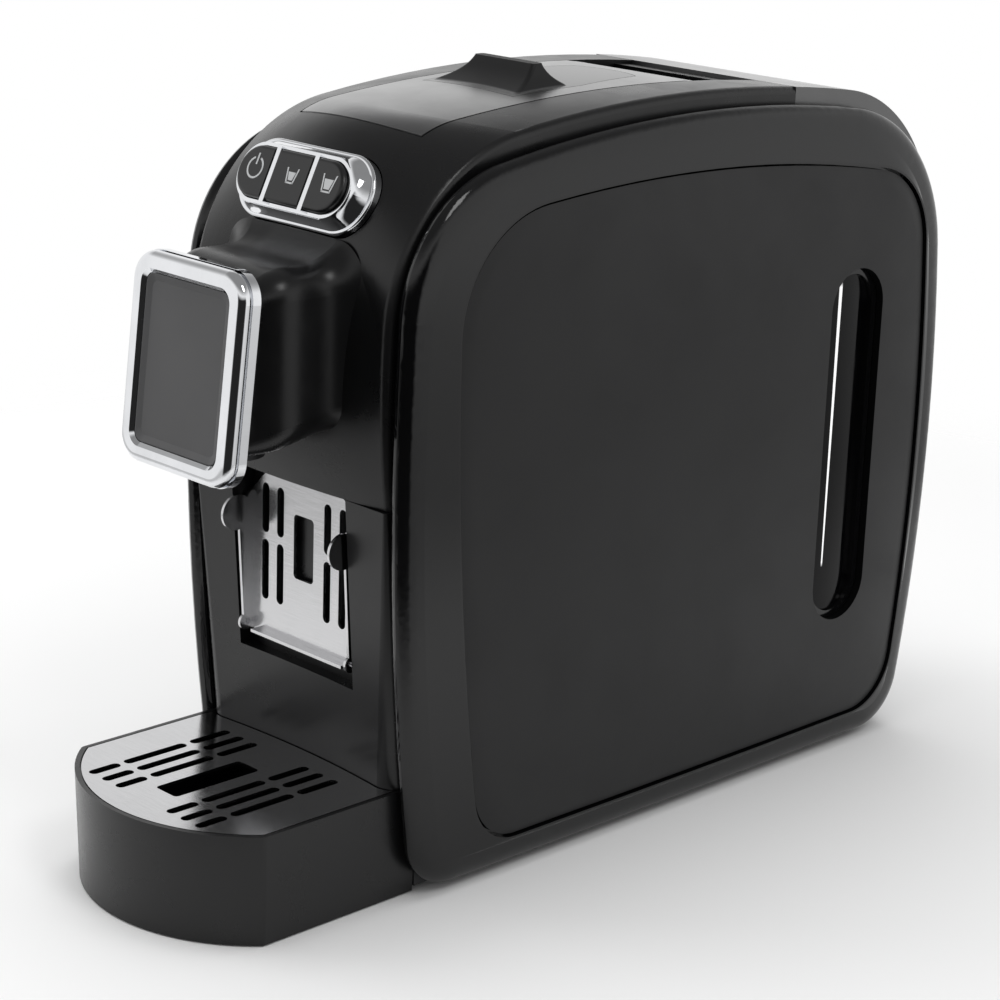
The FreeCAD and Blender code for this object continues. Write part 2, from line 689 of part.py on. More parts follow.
def base_pan():
    outer = Part.Face(plan_outline(BASE_HALF, BASE_FRONT_Y - 2 * BASE_CORNER, BASE_REAR_Y, BASE_CORNER, FOOT_H))
    outer = outer.extrude(V(0, 0, BASE_RIM_Z - FOOT_H))
    inner = Part.Face(plan_outline(BASE_HALF - WALL, BASE_FRONT_Y - 4 * BASE_CORNER, BASE_REAR_Y - WALL,
                                   BASE_CORNER - WALL, FLOOR_Z))
    inner = inner.extrude(V(0, 0, BASE_RIM_Z))
    front = box(-FAR, FAR, -FAR, BASE_FRONT_Y, -FAR, FAR)
    pan = outer.cut([inner, front])
    bosses = []
    holes = []
    for x in (-BOSS_X, BOSS_X):
        for y in (BOSS_FRONT_Y, BOSS_REAR_Y):
            bosses.append(cyl_z(BOSS_R, FLOOR_Z - 0.5, BASE_RIM_Z - 1, x, y))
            holes.append(cyl_z(SCREW_R + FIT, FOOT_H - 1, BASE_RIM_Z + 5, x, y))
            holes.append(cyl_z(SCREW_HEAD_R + FIT, FOOT_H - 1, FOOT_H + SCREW_HEAD_H + FIT, x, y))
    for x in (-RUNNER_X, RUNNER_X):
        bosses.append(box(x - RUNNER_W / 2, x + RUNNER_W / 2, BASE_FRONT_Y + 4, BIN_BACK_Y - 2,
                          FLOOR_Z - 0.5, BIN_LOW_Z - SLIDE_FIT))
    for x in (-TANK_REST_X, TANK_REST_X):
        bosses.append(box(x - 2, x + 2, TANK_FRONT_Y + 6, BASE_REAR_Y - 14, FLOOR_Z - 0.5,
                          TANK_LOW_Z - FIT))
    gland_z = (FOOT_H + BASE_RIM_Z) / 2
    holes.append(cyl_y(GLAND_R + FIT / 2, BASE_REAR_Y - 8, BASE_REAR_Y + 4, GLAND_X, gland_z))
    return pan.multiFuse(bosses).cut(holes).removeSplitter()


def base_screws():
    out = []
    for x in (-BOSS_X, BOSS_X):
        for y in (BOSS_FRONT_Y, BOSS_REAR_Y):
            head = cyl_z(SCREW_HEAD_R, FOOT_H, FOOT_H + SCREW_HEAD_H, x, y)
            shank = cyl_z(SCREW_R, FOOT_H + SCREW_HEAD_H - 0.2, BASE_RIM_Z - 2, x, y)
            out.append(head.fuse(shank).removeSplitter())
    return Part.makeCompound(out)


def feet():
    out = []
    for x in (-FOOT_X, FOOT_X):
        for y in (FOOT_FRONT_Y, FOOT_REAR_Y):
            foot = Part.makeCone(FOOT_R - 1.2, FOOT_R, FOOT_H, V(x, y, 0), V(0, 0, 1))
            out.append(foot)
    return Part.makeCompound(out)


def inlet_gland():
    gland_z = (FOOT_H + BASE_RIM_Z) / 2
    y1 = BASE_REAR_Y + 2.0
    body = cyl_y(GLAND_R, y1 - GLAND_LEN, y1, GLAND_X, gland_z)
    collar = cyl_y(GLAND_R + 1.2, y1 - 2.0 + FIT, y1, GLAND_X, gland_z)
    bore = cyl_y(GLAND_BORE_R, y1 - GLAND_LEN - 1, y1 + 1, GLAND_X, gland_z)
    return body.fuse(collar).cut(bore).removeSplitter()


def tray_wire(inset, z, back_y):
    """D-shaped plan: straight sides and one wide arc at the front."""
    half = TRAY_HALF - inset
    corner = TRAY_CORNER_Y + inset * 0.6
    front = TRAY_FRONT_Y + inset
    p = [V(half, back_y, z), V(half, corner, z), V(0, front, z), V(-half, corner, z), V(-half, back_y, z)]
    return Part.Wire([Part.LineSegment(p[0], p[1]).toShape(), Part.Arc(p[1], p[2], p[3]).toShape(),
                      Part.LineSegment(p[3], p[4]).toShape(), Part.LineSegment(p[4], p[0]).toShape()])


def drip_tray():
    outer = loft([tray_wire(TRAY_DRAFT, TRAY_BOTTOM_Z, TRAY_BACK_Y),
                  tray_wire(0.0, TRAY_TOP_Z, TRAY_BACK_Y)], True)
    corners = [e for e in outer.Edges if abs(e.CenterOfMass.y - TRAY_CORNER_Y) < 1.5
               and e.BoundBox.ZLength > 20]
    outer = outer.makeFillet(3.0, corners)
    deck_y = COLUMN_FOOT_Y - GRID_FIT - TRAY_LEDGE
    tub_inset = TRAY_LIP + TRAY_LEDGE
    tub = Part.Face(tray_wire(tub_inset, TRAY_BOTTOM_Z + TRAY_WALL, deck_y)).extrude(V(0, 0, TRAY_TOP_Z))
    seat = Part.Face(tray_wire(TRAY_LIP, TRAY_TOP_Z - GRID_THICK, COLUMN_FOOT_Y + 6)).extrude(V(0, 0, 5))
    under = box(-TRAY_HALF + 2 * TRAY_WALL, TRAY_HALF - 2 * TRAY_WALL, deck_y + TRAY_WALL,
                TRAY_BACK_Y + 1, TRAY_BOTTOM_Z + TRAY_WALL, TRAY_TOP_Z - GRID_THICK - TRAY_WALL)
    return outer.cut([tub, seat, under]).removeSplitter()


def column_wire(z, y1, bow, r, inset, back_y):
    """Plan section of the drawer front: hollow front between two rounded corners."""
    half = BODY_HALF - inset
    a = half - r
    k = r * (1 - math.sqrt(0.5))
    pts = [V(-a, y1, z), V(0, y1 + bow, z), V(a, y1, z)]
    right = [V(a, y1, z), V(half - k, y1 + k, z), V(half, y1 + r, z)]
    left = [V(-half, y1 + r, z), V(-half + k, y1 + k, z), V(-a, y1, z)]
    return Part.Wire([Part.Arc(*pts).toShape(), Part.Arc(*right).toShape(),
                      Part.LineSegment(right[2], V(half, back_y, z)).toShape(),
                      Part.LineSegment(V(half, back_y, z), V(-half, back_y, z)).toShape(),
                      Part.LineSegment(V(-half, back_y, z), left[0]).toShape(),
                      Part.Arc(*left).toShape()])


def column_form(low_z, high_z, inset, back_y):
    rows = ((TRAY_TOP_Z, COLUMN_FOOT_Y, COLUMN_FOOT_BOW, COLUMN_FOOT_ROUND),
            (SEAM_Z, COLUMN_TOP_Y, COLUMN_TOP_BOW, COLUMN_TOP_ROUND))
    form = loft([column_wire(z, y + inset, bow, r, inset, back_y) for z, y, bow, r in rows], True)
    return form.common(box(-FAR, FAR, -FAR, FAR, low_z, high_z))


def drawer_front():
    outer = column_form(TRAY_TOP_Z, SEAM_Z, 0.0, TRAY_BACK_Y)
    inner = column_form(TRAY_TOP_Z + COLUMN_WALL, SEAM_Z - COLUMN_WALL, COLUMN_WALL, TRAY_BACK_Y + 4)
    liner = box(-RECESS_HALF - RECESS_WALL, RECESS_HALF + RECESS_WALL, -FAR, RECESS_FLOOR_Y + RECESS_WALL,
                RECESS_LOW_Z - RECESS_WALL, SEAM_Z)
    pocket = box(-RECESS_HALF, RECESS_HALF, -FAR, RECESS_FLOOR_Y, RECESS_LOW_Z, FAR)
    bores = cyl_x(SHELF_PIN_R + RUN_FIT, -RECESS_HALF - 2, RECESS_HALF + 2, SHELF_AXIS_Y, SHELF_AXIS_Z)
    body = outer.cut(inner).multiFuse([outer.common(liner)])
    return body.cut([pocket, bores]).removeSplitter()


def capsule_bin():
    outer = box(-BIN_HALF, BIN_HALF, TRAY_BACK_Y, BIN_BACK_Y, BIN_LOW_Z, BIN_TOP_Z)
    upright = [e for e in outer.Edges if e.BoundBox.ZLength > BIN_TOP_Z / 2 and e.CenterOfMass.y > (TRAY_BACK_Y + BIN_BACK_Y) / 2]
    outer = outer.makeFillet(8.0, upright)
    inner = box(-BIN_HALF + BIN_WALL, BIN_HALF - BIN_WALL, TRAY_BACK_Y + BIN_WALL, BIN_BACK_Y - BIN_WALL,
                BIN_LOW_Z + BIN_WALL, BIN_TOP_Z + 5)
    upright = [e for e in inner.Edges if e.BoundBox.ZLength > BIN_TOP_Z / 2 and e.CenterOfMass.y > (TRAY_BACK_Y + BIN_BACK_Y) / 2]
    inner = inner.makeFillet(6.0, upright)
    ribs = []
    for x in (-BIN_HALF / 2, 0.0, BIN_HALF / 2):
        ribs.append(box(x - 1, x + 1, TRAY_BACK_Y + BIN_WALL + 6, BIN_BACK_Y - 10, BIN_LOW_Z + 1,
                        BIN_LOW_Z + BIN_WALL + 3))
    return outer.cut(inner).multiFuse(ribs).removeSplitter()


def drip_grid():
    edge = TRAY_LIP + GRID_FIT
    z1 = TRAY_TOP_Z
    z0 = z1 - GRID_THICK
    back = COLUMN_FOOT_Y + 4.0
    sheet = Part.Face(tray_wire(edge, z0, back)).extrude(V(0, 0, GRID_THICK))
    skirt_in = edge + TRAY_LEDGE + GRID_FIT
    skirt_back = COLUMN_FOOT_Y - GRID_FIT - TRAY_LEDGE - 2 * GRID_FIT
    skirt = Part.Face(tray_wire(skirt_in, z0 - GRID_SKIRT, skirt_back)).extrude(V(0, 0, GRID_SKIRT))
    core = Part.Face(tray_wire(skirt_in + GRID_THICK, z0 - GRID_SKIRT - 1, skirt_back - GRID_THICK))
    core = core.extrude(V(0, 0, GRID_SKIRT + 1))
    foot = loft([column_wire(TRAY_TOP_Z - 5, COLUMN_FOOT_Y - GRID_FIT, COLUMN_FOOT_BOW, COLUMN_FOOT_ROUND,
                             0.0, -60), column_wire(TRAY_TOP_Z + 5, COLUMN_FOOT_Y - GRID_FIT, COLUMN_FOOT_BOW,
                                                    COLUMN_FOOT_ROUND, 0.0, -60)], True)
    rear, front = GRID_WINDOW_Y[1], GRID_WINDOW_Y[0]
    window = slab(2 * GRID_WINDOW_HALF, rear - front, WINDOW_ROUND, z0 - 1, z1 + 1, 0.0, (front + rear) / 2)
    holes = [foot, window]
    for x in GRID_COLUMNS:
        for y0, y1 in GRID_ROWS:
            for s in (-1, 1):
                holes.append(pill(GRID_SLOT_W, y1 - y0, z0 - 1, z1 + 1, s * x, (y0 + y1) / 2))
    return sheet.multiFuse([skirt.cut(core)]).cut(holes).removeSplitter()


def cup_shelf():
    y0 = SHELF_FACE_Y
    y1 = y0 + SHELF_SHEET
    top = SHELF_HALF - SHELF_CHAMFER
    outline = [V(-SHELF_HALF, y0, SHELF_LOW_Z), V(SHELF_HALF, y0, SHELF_LOW_Z),
               V(SHELF_HALF, y0, SHELF_HIGH_Z - SHELF_CHAMFER), V(top, y0, SHELF_HIGH_Z),
               V(-top, y0, SHELF_HIGH_Z), V(-SHELF_HALF, y0, SHELF_HIGH_Z - SHELF_CHAMFER)]
    plate = polygon(outline).extrude(V(0, SHELF_SHEET, 0))
    flange_pts = [(y1, SHELF_LOW_Z), (y1, SHELF_FLANGE_TOP_Z), (y0 - 1.0, SHELF_FLANGE_TOP_Z),
                  (SHELF_FLANGE_HIGH_Y, SHELF_EAR_Z), (SHELF_FLANGE_LOW_Y, SHELF_LOW_Z)]
    flange = prism_x(flange_pts, SHELF_HALF - SHELF_SHEET, SHELF_HALF)
    ear = cyl_x(SHELF_EAR_R, SHELF_HALF - SHELF_SHEET, SHELF_HALF, SHELF_FLANGE_HIGH_Y - SHELF_EAR_OUT, SHELF_EAR_Z)
    ear = ear.common(box(-FAR, FAR, -FAR, y1, 0, FAR))
    tab = cyl_x(SHELF_TAB_R, SHELF_HALF - SHELF_SHEET, SHELF_HALF, SHELF_AXIS_Y - 1.0, SHELF_AXIS_Z)
    lip = box(-SHELF_HALF + 5, SHELF_HALF - 5, SHELF_FLANGE_LOW_Y, y1, SHELF_LOW_Z, SHELF_LOW_Z + SHELF_SHEET)
    body = [plate, lip] + both_sides(flange) + both_sides(ear) + both_sides(tab)
    low, high = SHELF_WINDOW_Z
    window = slab(2 * SHELF_WINDOW_HALF, high - low, WINDOW_ROUND, -1, SHELF_SHEET + 1)
    window.Placement = FreeCAD.Placement(V(0, y1, (low + high) / 2), FreeCAD.Rotation(V(1, 0, 0), 90))
    holes = [window]
    for x in SHELF_COLUMNS:
        for z0, z1 in SHELF_ROWS:
            slot = pill(SHELF_SLOT_W, z1 - z0, -1, SHELF_SHEET + 1)
            slot.Placement = FreeCAD.Placement(V(x, y1, (z0 + z1) / 2), FreeCAD.Rotation(V(1, 0, 0), 90))
            holes += both_sides(slot)
    holes.append(cyl_x(SHELF_PIN_R, -SHELF_HALF - 1, SHELF_HALF + 1, SHELF_AXIS_Y, SHELF_AXIS_Z))
    return body[0].multiFuse(body[1:]).cut(holes).removeSplitter()


def shelf_pins():
    pin = cyl_x(SHELF_PIN_R, SHELF_HALF - SHELF_SHEET, RECESS_HALF + RECESS_WALL - 0.6, SHELF_AXIS_Y, SHELF_AXIS_Z)
    return Part.makeCompound(both_sides(pin))


def head_bezel():
    front = slab(BEZEL_W, BEZEL_H, BEZEL_ROUND, BEZEL_FRONT - BEZEL_RING, BEZEL_FRONT)
    rim = [e for e in front.Edges if e.BoundBox.ZMin > BEZEL_FRONT - 0.01]
    front = front.makeFillet(BEZEL_ROLL, rim)
    z1 = BEZEL_FRONT - BEZEL_RING
    z2 = z1 - BEZEL_GROOVE
    neck = slab(BEZEL_W - 2 * BEZEL_STEP, BEZEL_H - 2 * BEZEL_STEP, BEZEL_ROUND - BEZEL_STEP, z2, z1)
    rear = slab(BEZEL_W + 2 * BEZEL_SWELL, BEZEL_H + 2 * BEZEL_SWELL, BEZEL_ROUND + BEZEL_SWELL, z2 - BEZEL_REAR, z2)
    body = front.multiFuse([neck, rear])
    window = slab(PLATE_W + 2 * FIT, PLATE_H + 2 * FIT, PLATE_ROUND + FIT, -PLATE_THICK, 20)
    through = slab(PLATE_W - 2 * PLATE_LEDGE, PLATE_H - 2 * PLATE_LEDGE, PLATE_ROUND, -40, 20)
    body = body.cut([window, through]).removeSplitter()
    inner = [e for e in body.Edges if e.BoundBox.ZMin > BEZEL_FRONT - 0.01
             and e.BoundBox.XMax < PLATE_W / 2 + 1 and e.BoundBox.XMin > -PLATE_W / 2 - 1]
    body = body.makeChamfer(BEZEL_CHAMFER, inner)
    return on_head(body)


def head_plate():
    """Dark plate in the bezel: a dish whose walls slope in to a flat face."""
    block = slab(PLATE_W, PLATE_H, PLATE_ROUND, -PLATE_THICK, PLATE_RIM)
    wires = []
    for z, inset in ((0.0, PLATE_LAND + PLATE_SLOPE), (2 * PLATE_RIM, PLATE_LAND - PLATE_SLOPE)):
        wires.append(rounded_rect(PLATE_W - 2 * inset, PLATE_H - 2 * inset, PLATE_ROUND - inset / 2, z))
    return on_head(block.cut(loft(wires, True)))


def spout_floor():
    """Highest point of the head's sloping floor under the spout flange."""
    return HEAD_NECK_LOW_Z + HEAD_FLOOR_RISE * (SPOUT_Y + SPOUT_FLANGE_R - HEAD_STATIONS[0][0]) + WALL


def spout_nozzle():
    """Outlet under the head, hung on a flange inside the head's floor."""
    floor = spout_floor()
    body = cyl_z(SPOUT_R, SPOUT_LOW_Z, floor + FIT + SPOUT_FLANGE, 0, SPOUT_Y)
    flange = cyl_z(SPOUT_FLANGE_R, floor + FIT, floor + FIT + SPOUT_FLANGE, 0, SPOUT_Y)
    rim = cyl_z(SPOUT_R - WALL, SPOUT_LOW_Z - 1, SPOUT_LOW_Z + 4, 0, SPOUT_Y)
    bore = cyl_z(DUCT_R - 2, SPOUT_LOW_Z - 1, floor + 20, 0, SPOUT_Y)
    return body.multiFuse([flange]).cut([rim, bore]).removeSplitter()


def spout_duct():
    low = spout_floor() + FIT + SPOUT_FLANGE
    start = (0, BREW_PLATE_Y - BREW_PLATE_T, BREW_PLATE_LOW_Z + 12)
    path = [start, (0, SPOUT_Y, BREW_PLATE_LOW_Z + 12), (0, SPOUT_Y, low)]
    return tube(path, DUCT_R, 14.0)


def turret_bezel():
    """Chrome turret: a flat rim, a waisted wall and a ring with two dividers."""
    rim = pill(TURRET_W, TURRET_H, -TURRET_PLUG, TURRET_RIM)
    edge = [e for e in rim.Edges if e.BoundBox.ZMin > TURRET_RIM - 0.01]
    rim = rim.makeFillet(0.9, edge)
    levels = ((TURRET_RIM - 0.8, 6.0), (TURRET_RIM + 1.2, 3.4), (TURRET_TOP * 0.6, 1.2), (TURRET_TOP, 0.0))
    wires = []
    for z, grow in levels:
        w, h = TURRET_TOP_W + 2 * grow * 0.75, TURRET_TOP_H + 2 * grow * 0.5
        wires.append(rounded_rect(w, h, h / 2 - 0.01, z))
    wall = loft(wires)
    well_w, well_h = TURRET_TOP_W - 2 * TURRET_RING, TURRET_TOP_H - 2 * TURRET_RING
    well = pill(well_w, well_h, -TURRET_PLUG - 1, TURRET_TOP + 5)
    body = rim.multiFuse([wall]).cut(well)
    bars = []
    for x in (-BUTTON_DIVIDE, BUTTON_DIVIDE):
        bars.append(box(x - DIVIDER_W / 2, x + DIVIDER_W / 2, -well_h / 2 - 0.4, well_h / 2 + 0.4, 0.0,
                        DIVIDER_TOP))
    return on_turret(body.multiFuse(bars).removeSplitter())


def button(index):
    """One of three keys cut from a domed pill; -1 power, 0 small cup, 1 large cup."""
    well_w, well_h = TURRET_TOP_W - 2 * TURRET_RING, TURRET_TOP_H - 2 * TURRET_RING
    key = pill(well_w - 2 * BUTTON_GAP, well_h - 2 * BUTTON_GAP, BUTTON_LOW, BUTTON_TOP)
    edge = [e for e in key.Edges if e.BoundBox.ZMin > BUTTON_TOP - 0.01]
    key = key.makeFillet(1.6, edge)
    side = DIVIDER_W / 2 + BUTTON_GAP
    if index == 0:
        span = box(-BUTTON_DIVIDE + side, BUTTON_DIVIDE - side, -FAR, FAR, -FAR, FAR)
    else:
        span = box(BUTTON_DIVIDE + side, FAR, -FAR, FAR, -FAR, FAR)
    key = key.common(span)
    mid_x = 0.0 if index == 0 else (BUTTON_DIVIDE + well_w / 2) / 2
    stem = cyl_z(2.0, BUTTON_LOW - 4.0, BUTTON_LOW + 0.5, mid_x, 0)
    key = key.multiFuse([stem]).removeSplitter()
    if index < 0:
        key = key.mirror(V(0, 0, 0), V(1, 0, 0))
    return on_turret(key)


def button_board():
    """Board behind the turret, with a switch under each key."""
    well_w = TURRET_TOP_W - 2 * TURRET_RING
    stem_end = BUTTON_LOW - 4.0
    top = stem_end - BUTTON_TRAVEL - FIT - SWITCH_H
    top = min(top, -TURRET_PLUG - BOARD_THICK)
    board = slab(TURRET_W - 8, TURRET_H - 6, 3.0, top, top + BOARD_THICK)
    parts = [board]
    for x in (-(BUTTON_DIVIDE + well_w / 2) / 2, 0.0, (BUTTON_DIVIDE + well_w / 2) / 2):
        half = SWITCH_SIDE / 2
        parts.append(box(x - half, x + half, -half, half, top + BOARD_THICK,
                         stem_end - BUTTON_TRAVEL - FIT))
    return on_turret(parts[0].multiFuse(parts[1:]).removeSplitter())


def tile_wire(grow, z):
    a, b = FIN_HALF + grow, TILE_REAR_HALF + grow
    y0, y1 = FIN_FRONT_Y - grow, TILE_REAR_Y + grow
    p = [V(-a, y0, z), V(a, y0, z), V(a, FIN_REAR_Y, z), V(b, y1 - 5, z), V(0, y1, z), V(-b, y1 - 5, z),
         V(-a, FIN_REAR_Y, z)]
    rear = Part.Arc(p[3], p[4], p[5]).toShape()
    edges = [Part.LineSegment(p[i], p[i + 1]).toShape() for i in (0, 1, 2)]
    edges += [rear, Part.LineSegment(p[5], p[6]).toShape(), Part.LineSegment(p[6], p[0]).toShape()]
    return Part.Wire(edges)


def lever_lid():
    """Lid with two cheeks that turn on the lever pin; its tail is a quarter drum round the pin."""
    outer, under = centre_form(), centre_form(LID_WALL, 1.0)
    zone = lid_plan(0.0, LEVER_Y, LEVER_Z).extrude(V(0, 0, FAR))
    plate = outer.cut(under).common(zone)
    drum = cyl_x(LEVER_R, -LID_HALF, LID_HALF, LEVER_Y, LEVER_Z).cut(
        cyl_x(LEVER_R - LID_WALL, -LID_HALF - 1, LID_HALF + 1, LEVER_Y, LEVER_Z))
    drum = drum.common(box(-LID_HALF, LID_HALF, LEVER_Y, LEVER_Y + LEVER_R + 1, LEVER_Z - 6, FIN_TOP_Z))
    rib_zone = box(CHEEK_X, CHEEK_X + CHEEK_W, LID_FRONT_Y + 12, LEVER_Y, LEVER_Z, FIN_TOP_Z)
    rib = rib_zone.common(centre_form(LID_WALL - 0.2)).cut(centre_form(LID_WALL + RIB_DROP, 1.0))
    cheek = cyl_x(LEVER_R - LID_WALL + 0.2, CHEEK_X, CHEEK_X + CHEEK_W, LEVER_Y, LEVER_Z)
    pocket = Part.Face(tile_wire(FIT, LEVER_Z)).extrude(V(0, 0, FAR)).cut(centre_form(TILE_THICK + FIT, 1.0))
    angle = math.radians(LEVER_SWING / 2)
    pin_y, pin_z = LEVER_Y - CRANK_R * math.sin(angle), LEVER_Z + CRANK_R * math.cos(angle)
    body = plate.multiFuse([drum] + both_sides(rib) + both_sides(cheek))
    holes = [pocket, cyl_x(LEVER_PIN_R + RUN_FIT, -FAR, FAR, LEVER_Y, LEVER_Z),
             cyl_x(CRANK_PIN_R, -FAR, FAR, pin_y, pin_z)]
    return body.cut(holes).removeSplitter()


def crank_pin():
    angle = math.radians(LEVER_SWING / 2)
    pin_y, pin_z = LEVER_Y - CRANK_R * math.sin(angle), LEVER_Z + CRANK_R * math.cos(angle)
    return cyl_x(CRANK_PIN_R, -CHEEK_X - CHEEK_W, CHEEK_X + CHEEK_W, pin_y, pin_z)


def fin_grip():
    """Grip fin whose flanks sweep down in hollow curves to a tile flush in the lid."""
    tile = Part.Face(tile_wire(0.0, LEVER_Z)).extrude(V(0, 0, FAR))
    tile = tile.common(centre_form()).cut(centre_form(TILE_THICK, 1.0))
    foot_z = CROWN_TOP_Z + FIN_FOOT
    rows = ((0.0, 1.0), (0.16, 0.74), (0.5, 0.3), (1.0, 0.0))
    wires = []
    for t, s in rows:
        z = foot_z + (FIN_TOP_Z - foot_z) * t
        half = FIN_TOP_HALF + (FIN_HALF - 0.5 - FIN_TOP_HALF) * s
        y0 = FIN_TOP_Y - FIN_TOP_W / 2 + (FIN_FRONT_Y + 0.5 - FIN_TOP_Y + FIN_TOP_W / 2) * s
        y1 = FIN_TOP_Y + FIN_TOP_W / 2 + (FIN_REAR_Y - FIN_TOP_Y - FIN_TOP_W / 2) * s
        wires.append(rounded_rect(2 * half, y1 - y0, 1.6, z, 0.0, (y0 + y1) / 2))
    fin = loft(wires).cut(centre_form(TILE_THICK * 0.5, 1.0))
    return tile.multiFuse([fin]).removeSplitter()


def lever_pin():
    end = BREW_HALF + CHASSIS_T
    return cyl_x(LEVER_PIN_R, -end, end, LEVER_Y, LEVER_Z)


def chassis():
    """Sheet frame: two side plates and the wall in front of the tank, with sleeves for the lever pin."""
    x0, x1 = BREW_HALF, BREW_HALF + CHASSIS_T
    plate = box(x0, x1, CHASSIS_FRONT_Y, CHASSIS_REAR_Y, FLOOR_Z, CHASSIS_TOP_Z)
    ear = cyl_x(CHASSIS_EAR_R, x0, x1, LEVER_Y, LEVER_Z)
    neck = box(x0, x1, LEVER_Y - CHASSIS_EAR_R, LEVER_Y + CHASSIS_EAR_R, CHASSIS_TOP_Z - 2, LEVER_Z)
    sleeve = cyl_x(CHASSIS_SLEEVE_R, CHEEK_X + CHEEK_W + FIT, x1, LEVER_Y, LEVER_Z)
    windows = [box(x0 - 1, x1 + 1, CHASSIS_FRONT_Y + 14, CHASSIS_REAR_Y - 30, 24, 56),
               box(x0 - 1, x1 + 1, CHASSIS_FRONT_Y + 14, CHASSIS_REAR_Y - 14, 194, BEAM_LOW_Z - 6)]
    side = plate.multiFuse([ear, neck, sleeve]).cut(windows)
    wall = box(-x0 - 0.5, x0 + 0.5, CHASSIS_REAR_Y - CHASSIS_T, CHASSIS_REAR_Y, FLOOR_Z, CHASSIS_TOP_Z - 30)
    body = side.multiFuse([side.mirror(V(0, 0, 0), V(1, 0, 0)), wall])
    bore = cyl_x(LEVER_PIN_R, -FAR, FAR, LEVER_Y, LEVER_Z)
    notch = []
    for x in (-BOSS_X, BOSS_X):
        for y in (BOSS_FRONT_Y, BOSS_REAR_Y):
            notch.append(cyl_z(BOSS_R + 1.0, FLOOR_Z - 1, BASE_RIM_Z + 1, x, y))
    hose_hole = box(-HOSE_ROOM, METER_X + HOSE_ROOM, CHASSIS_REAR_Y - 2 * CHASSIS_T, CHASSIS_REAR_Y + 1, FLOOR_Z - 1,
                    FLOOR_Z + METER_H)
    return body.cut([bore, hose_hole] + notch).removeSplitter()


def brew_frame():
    """Fixed brewing plate and the two beams that hang it on the chassis."""
    y0 = BREW_PLATE_Y - BREW_PLATE_T
    plate = box(-BREW_HALF + 3, BREW_HALF - 3, y0, BREW_PLATE_Y, BREW_PLATE_LOW_Z, BREW_PLATE_HIGH_Z)
    beam = box(BREW_HALF - BEAM_W, BREW_HALF, y0 + 4, BEAM_END_Y, BEAM_LOW_Z, BEAM_HIGH_Z)
    dish = cyl_y(PISTON_BORE_R - 2, BREW_PLATE_Y - 2, BREW_PLATE_Y + 1, 0, BREW_Z)
    drain = cyl_y(DUCT_R - 2, y0 - 1, BREW_PLATE_Y + 1, 0, BREW_PLATE_LOW_Z + 12)
    relief = box(BREW_HALF - BEAM_W - 1, BREW_HALF - 3, RELIEF_FRONT_Y, RELIEF_REAR_Y,
                 BEAM_LOW_Z + RELIEF_EDGE, BEAM_HIGH_Z - RELIEF_EDGE)
    body = plate.multiFuse(both_sides(beam))
    return body.cut([dish, drain] + both_sides(relief)).removeSplitter()


def rear_bridge():
    y1 = BEAM_END_Y
    half = BREW_HALF - BEAM_W
    bar = box(-half, half, y1 - BRIDGE_T, y1, BREW_Z - BRIDGE_HALF_H, BREW_Z + BRIDGE_HALF_H)
    return bar.removeSplitter()


def guide_rods():
    rod = cyl_y(ROD_R, BREW_PLATE_Y, BEAM_END_Y - BRIDGE_T, ROD_X, BREW_Z)
    return Part.makeCompound(both_sides(rod))


def piston():
    """Carriage that presses the capsule on the plate: cup, guide lugs and a waist."""
    y0 = BREW_PLATE_Y + PISTON_GAP
    cup = cyl_y(PISTON_R, y0, y0 + PISTON_LEN, 0, BREW_Z)
    bore = cyl_y(PISTON_BORE_R, y0 - 1, y0 + PISTON_DEPTH, 0, BREW_Z)
    groove = cyl_y(PISTON_R + 1, y0 + SEAL_BACK, y0 + SEAL_BACK + 2 * SEAL_R + FIT, 0, BREW_Z).cut(
        cyl_y(PISTON_R - SEAL_R, y0, y0 + PISTON_LEN, 0, BREW_Z))
    lug = cyl_y(LUG_R, y0 + PISTON_LEN - LUG_LEN, y0 + PISTON_LEN, ROD_X, BREW_Z)
    web = box(PISTON_R - 4, ROD_X, y0 + PISTON_LEN - LUG_LEN, y0 + PISTON_LEN, BREW_Z - 5, BREW_Z + 5)
    body = cup.multiFuse(both_sides(lug) + both_sides(web))
    hole = cyl_y(ROD_R + SLIDE_FIT, y0 - 5, y0 + PISTON_LEN + 5, ROD_X, BREW_Z)
    return body.cut([bore, groove] + both_sides(hole)).removeSplitter()


def piston_seal():
    """Ring in the piston's groove, with a chamfered lip outside."""
    y0 = BREW_PLATE_Y + PISTON_GAP + SEAL_BACK + FIT / 2
    y1 = y0 + 2 * SEAL_R
    inner, outer = PISTON_R - SEAL_R, PISTON_R + SEAL_R
    points = [(inner, y0), (inner, y1), (PISTON_R, y1), (outer, y1 - SEAL_R / 2), (outer, y0 + SEAL_R / 2), (PISTON_R, y0)]
    section = polygon([V(0, y, BREW_Z + r) for r, y in points])
    return section.revolve(V(0, 0, BREW_Z), V(0, 1, 0), 360)


def needles():
    y1 = BREW_PLATE_Y + PISTON_GAP + PISTON_DEPTH
    out = []
    for x in (-NEEDLE_X, NEEDLE_X):
        tip = Part.makeCone(0.2, NEEDLE_R, NEEDLE_LEN * 0.4, V(x, y1 - NEEDLE_LEN, BREW_Z), V(0, 1, 0))
        out.append(tip.fuse(cyl_y(NEEDLE_R, y1 - NEEDLE_LEN * 0.6, y1, x, BREW_Z)).removeSplitter())
    return Part.makeCompound(out)


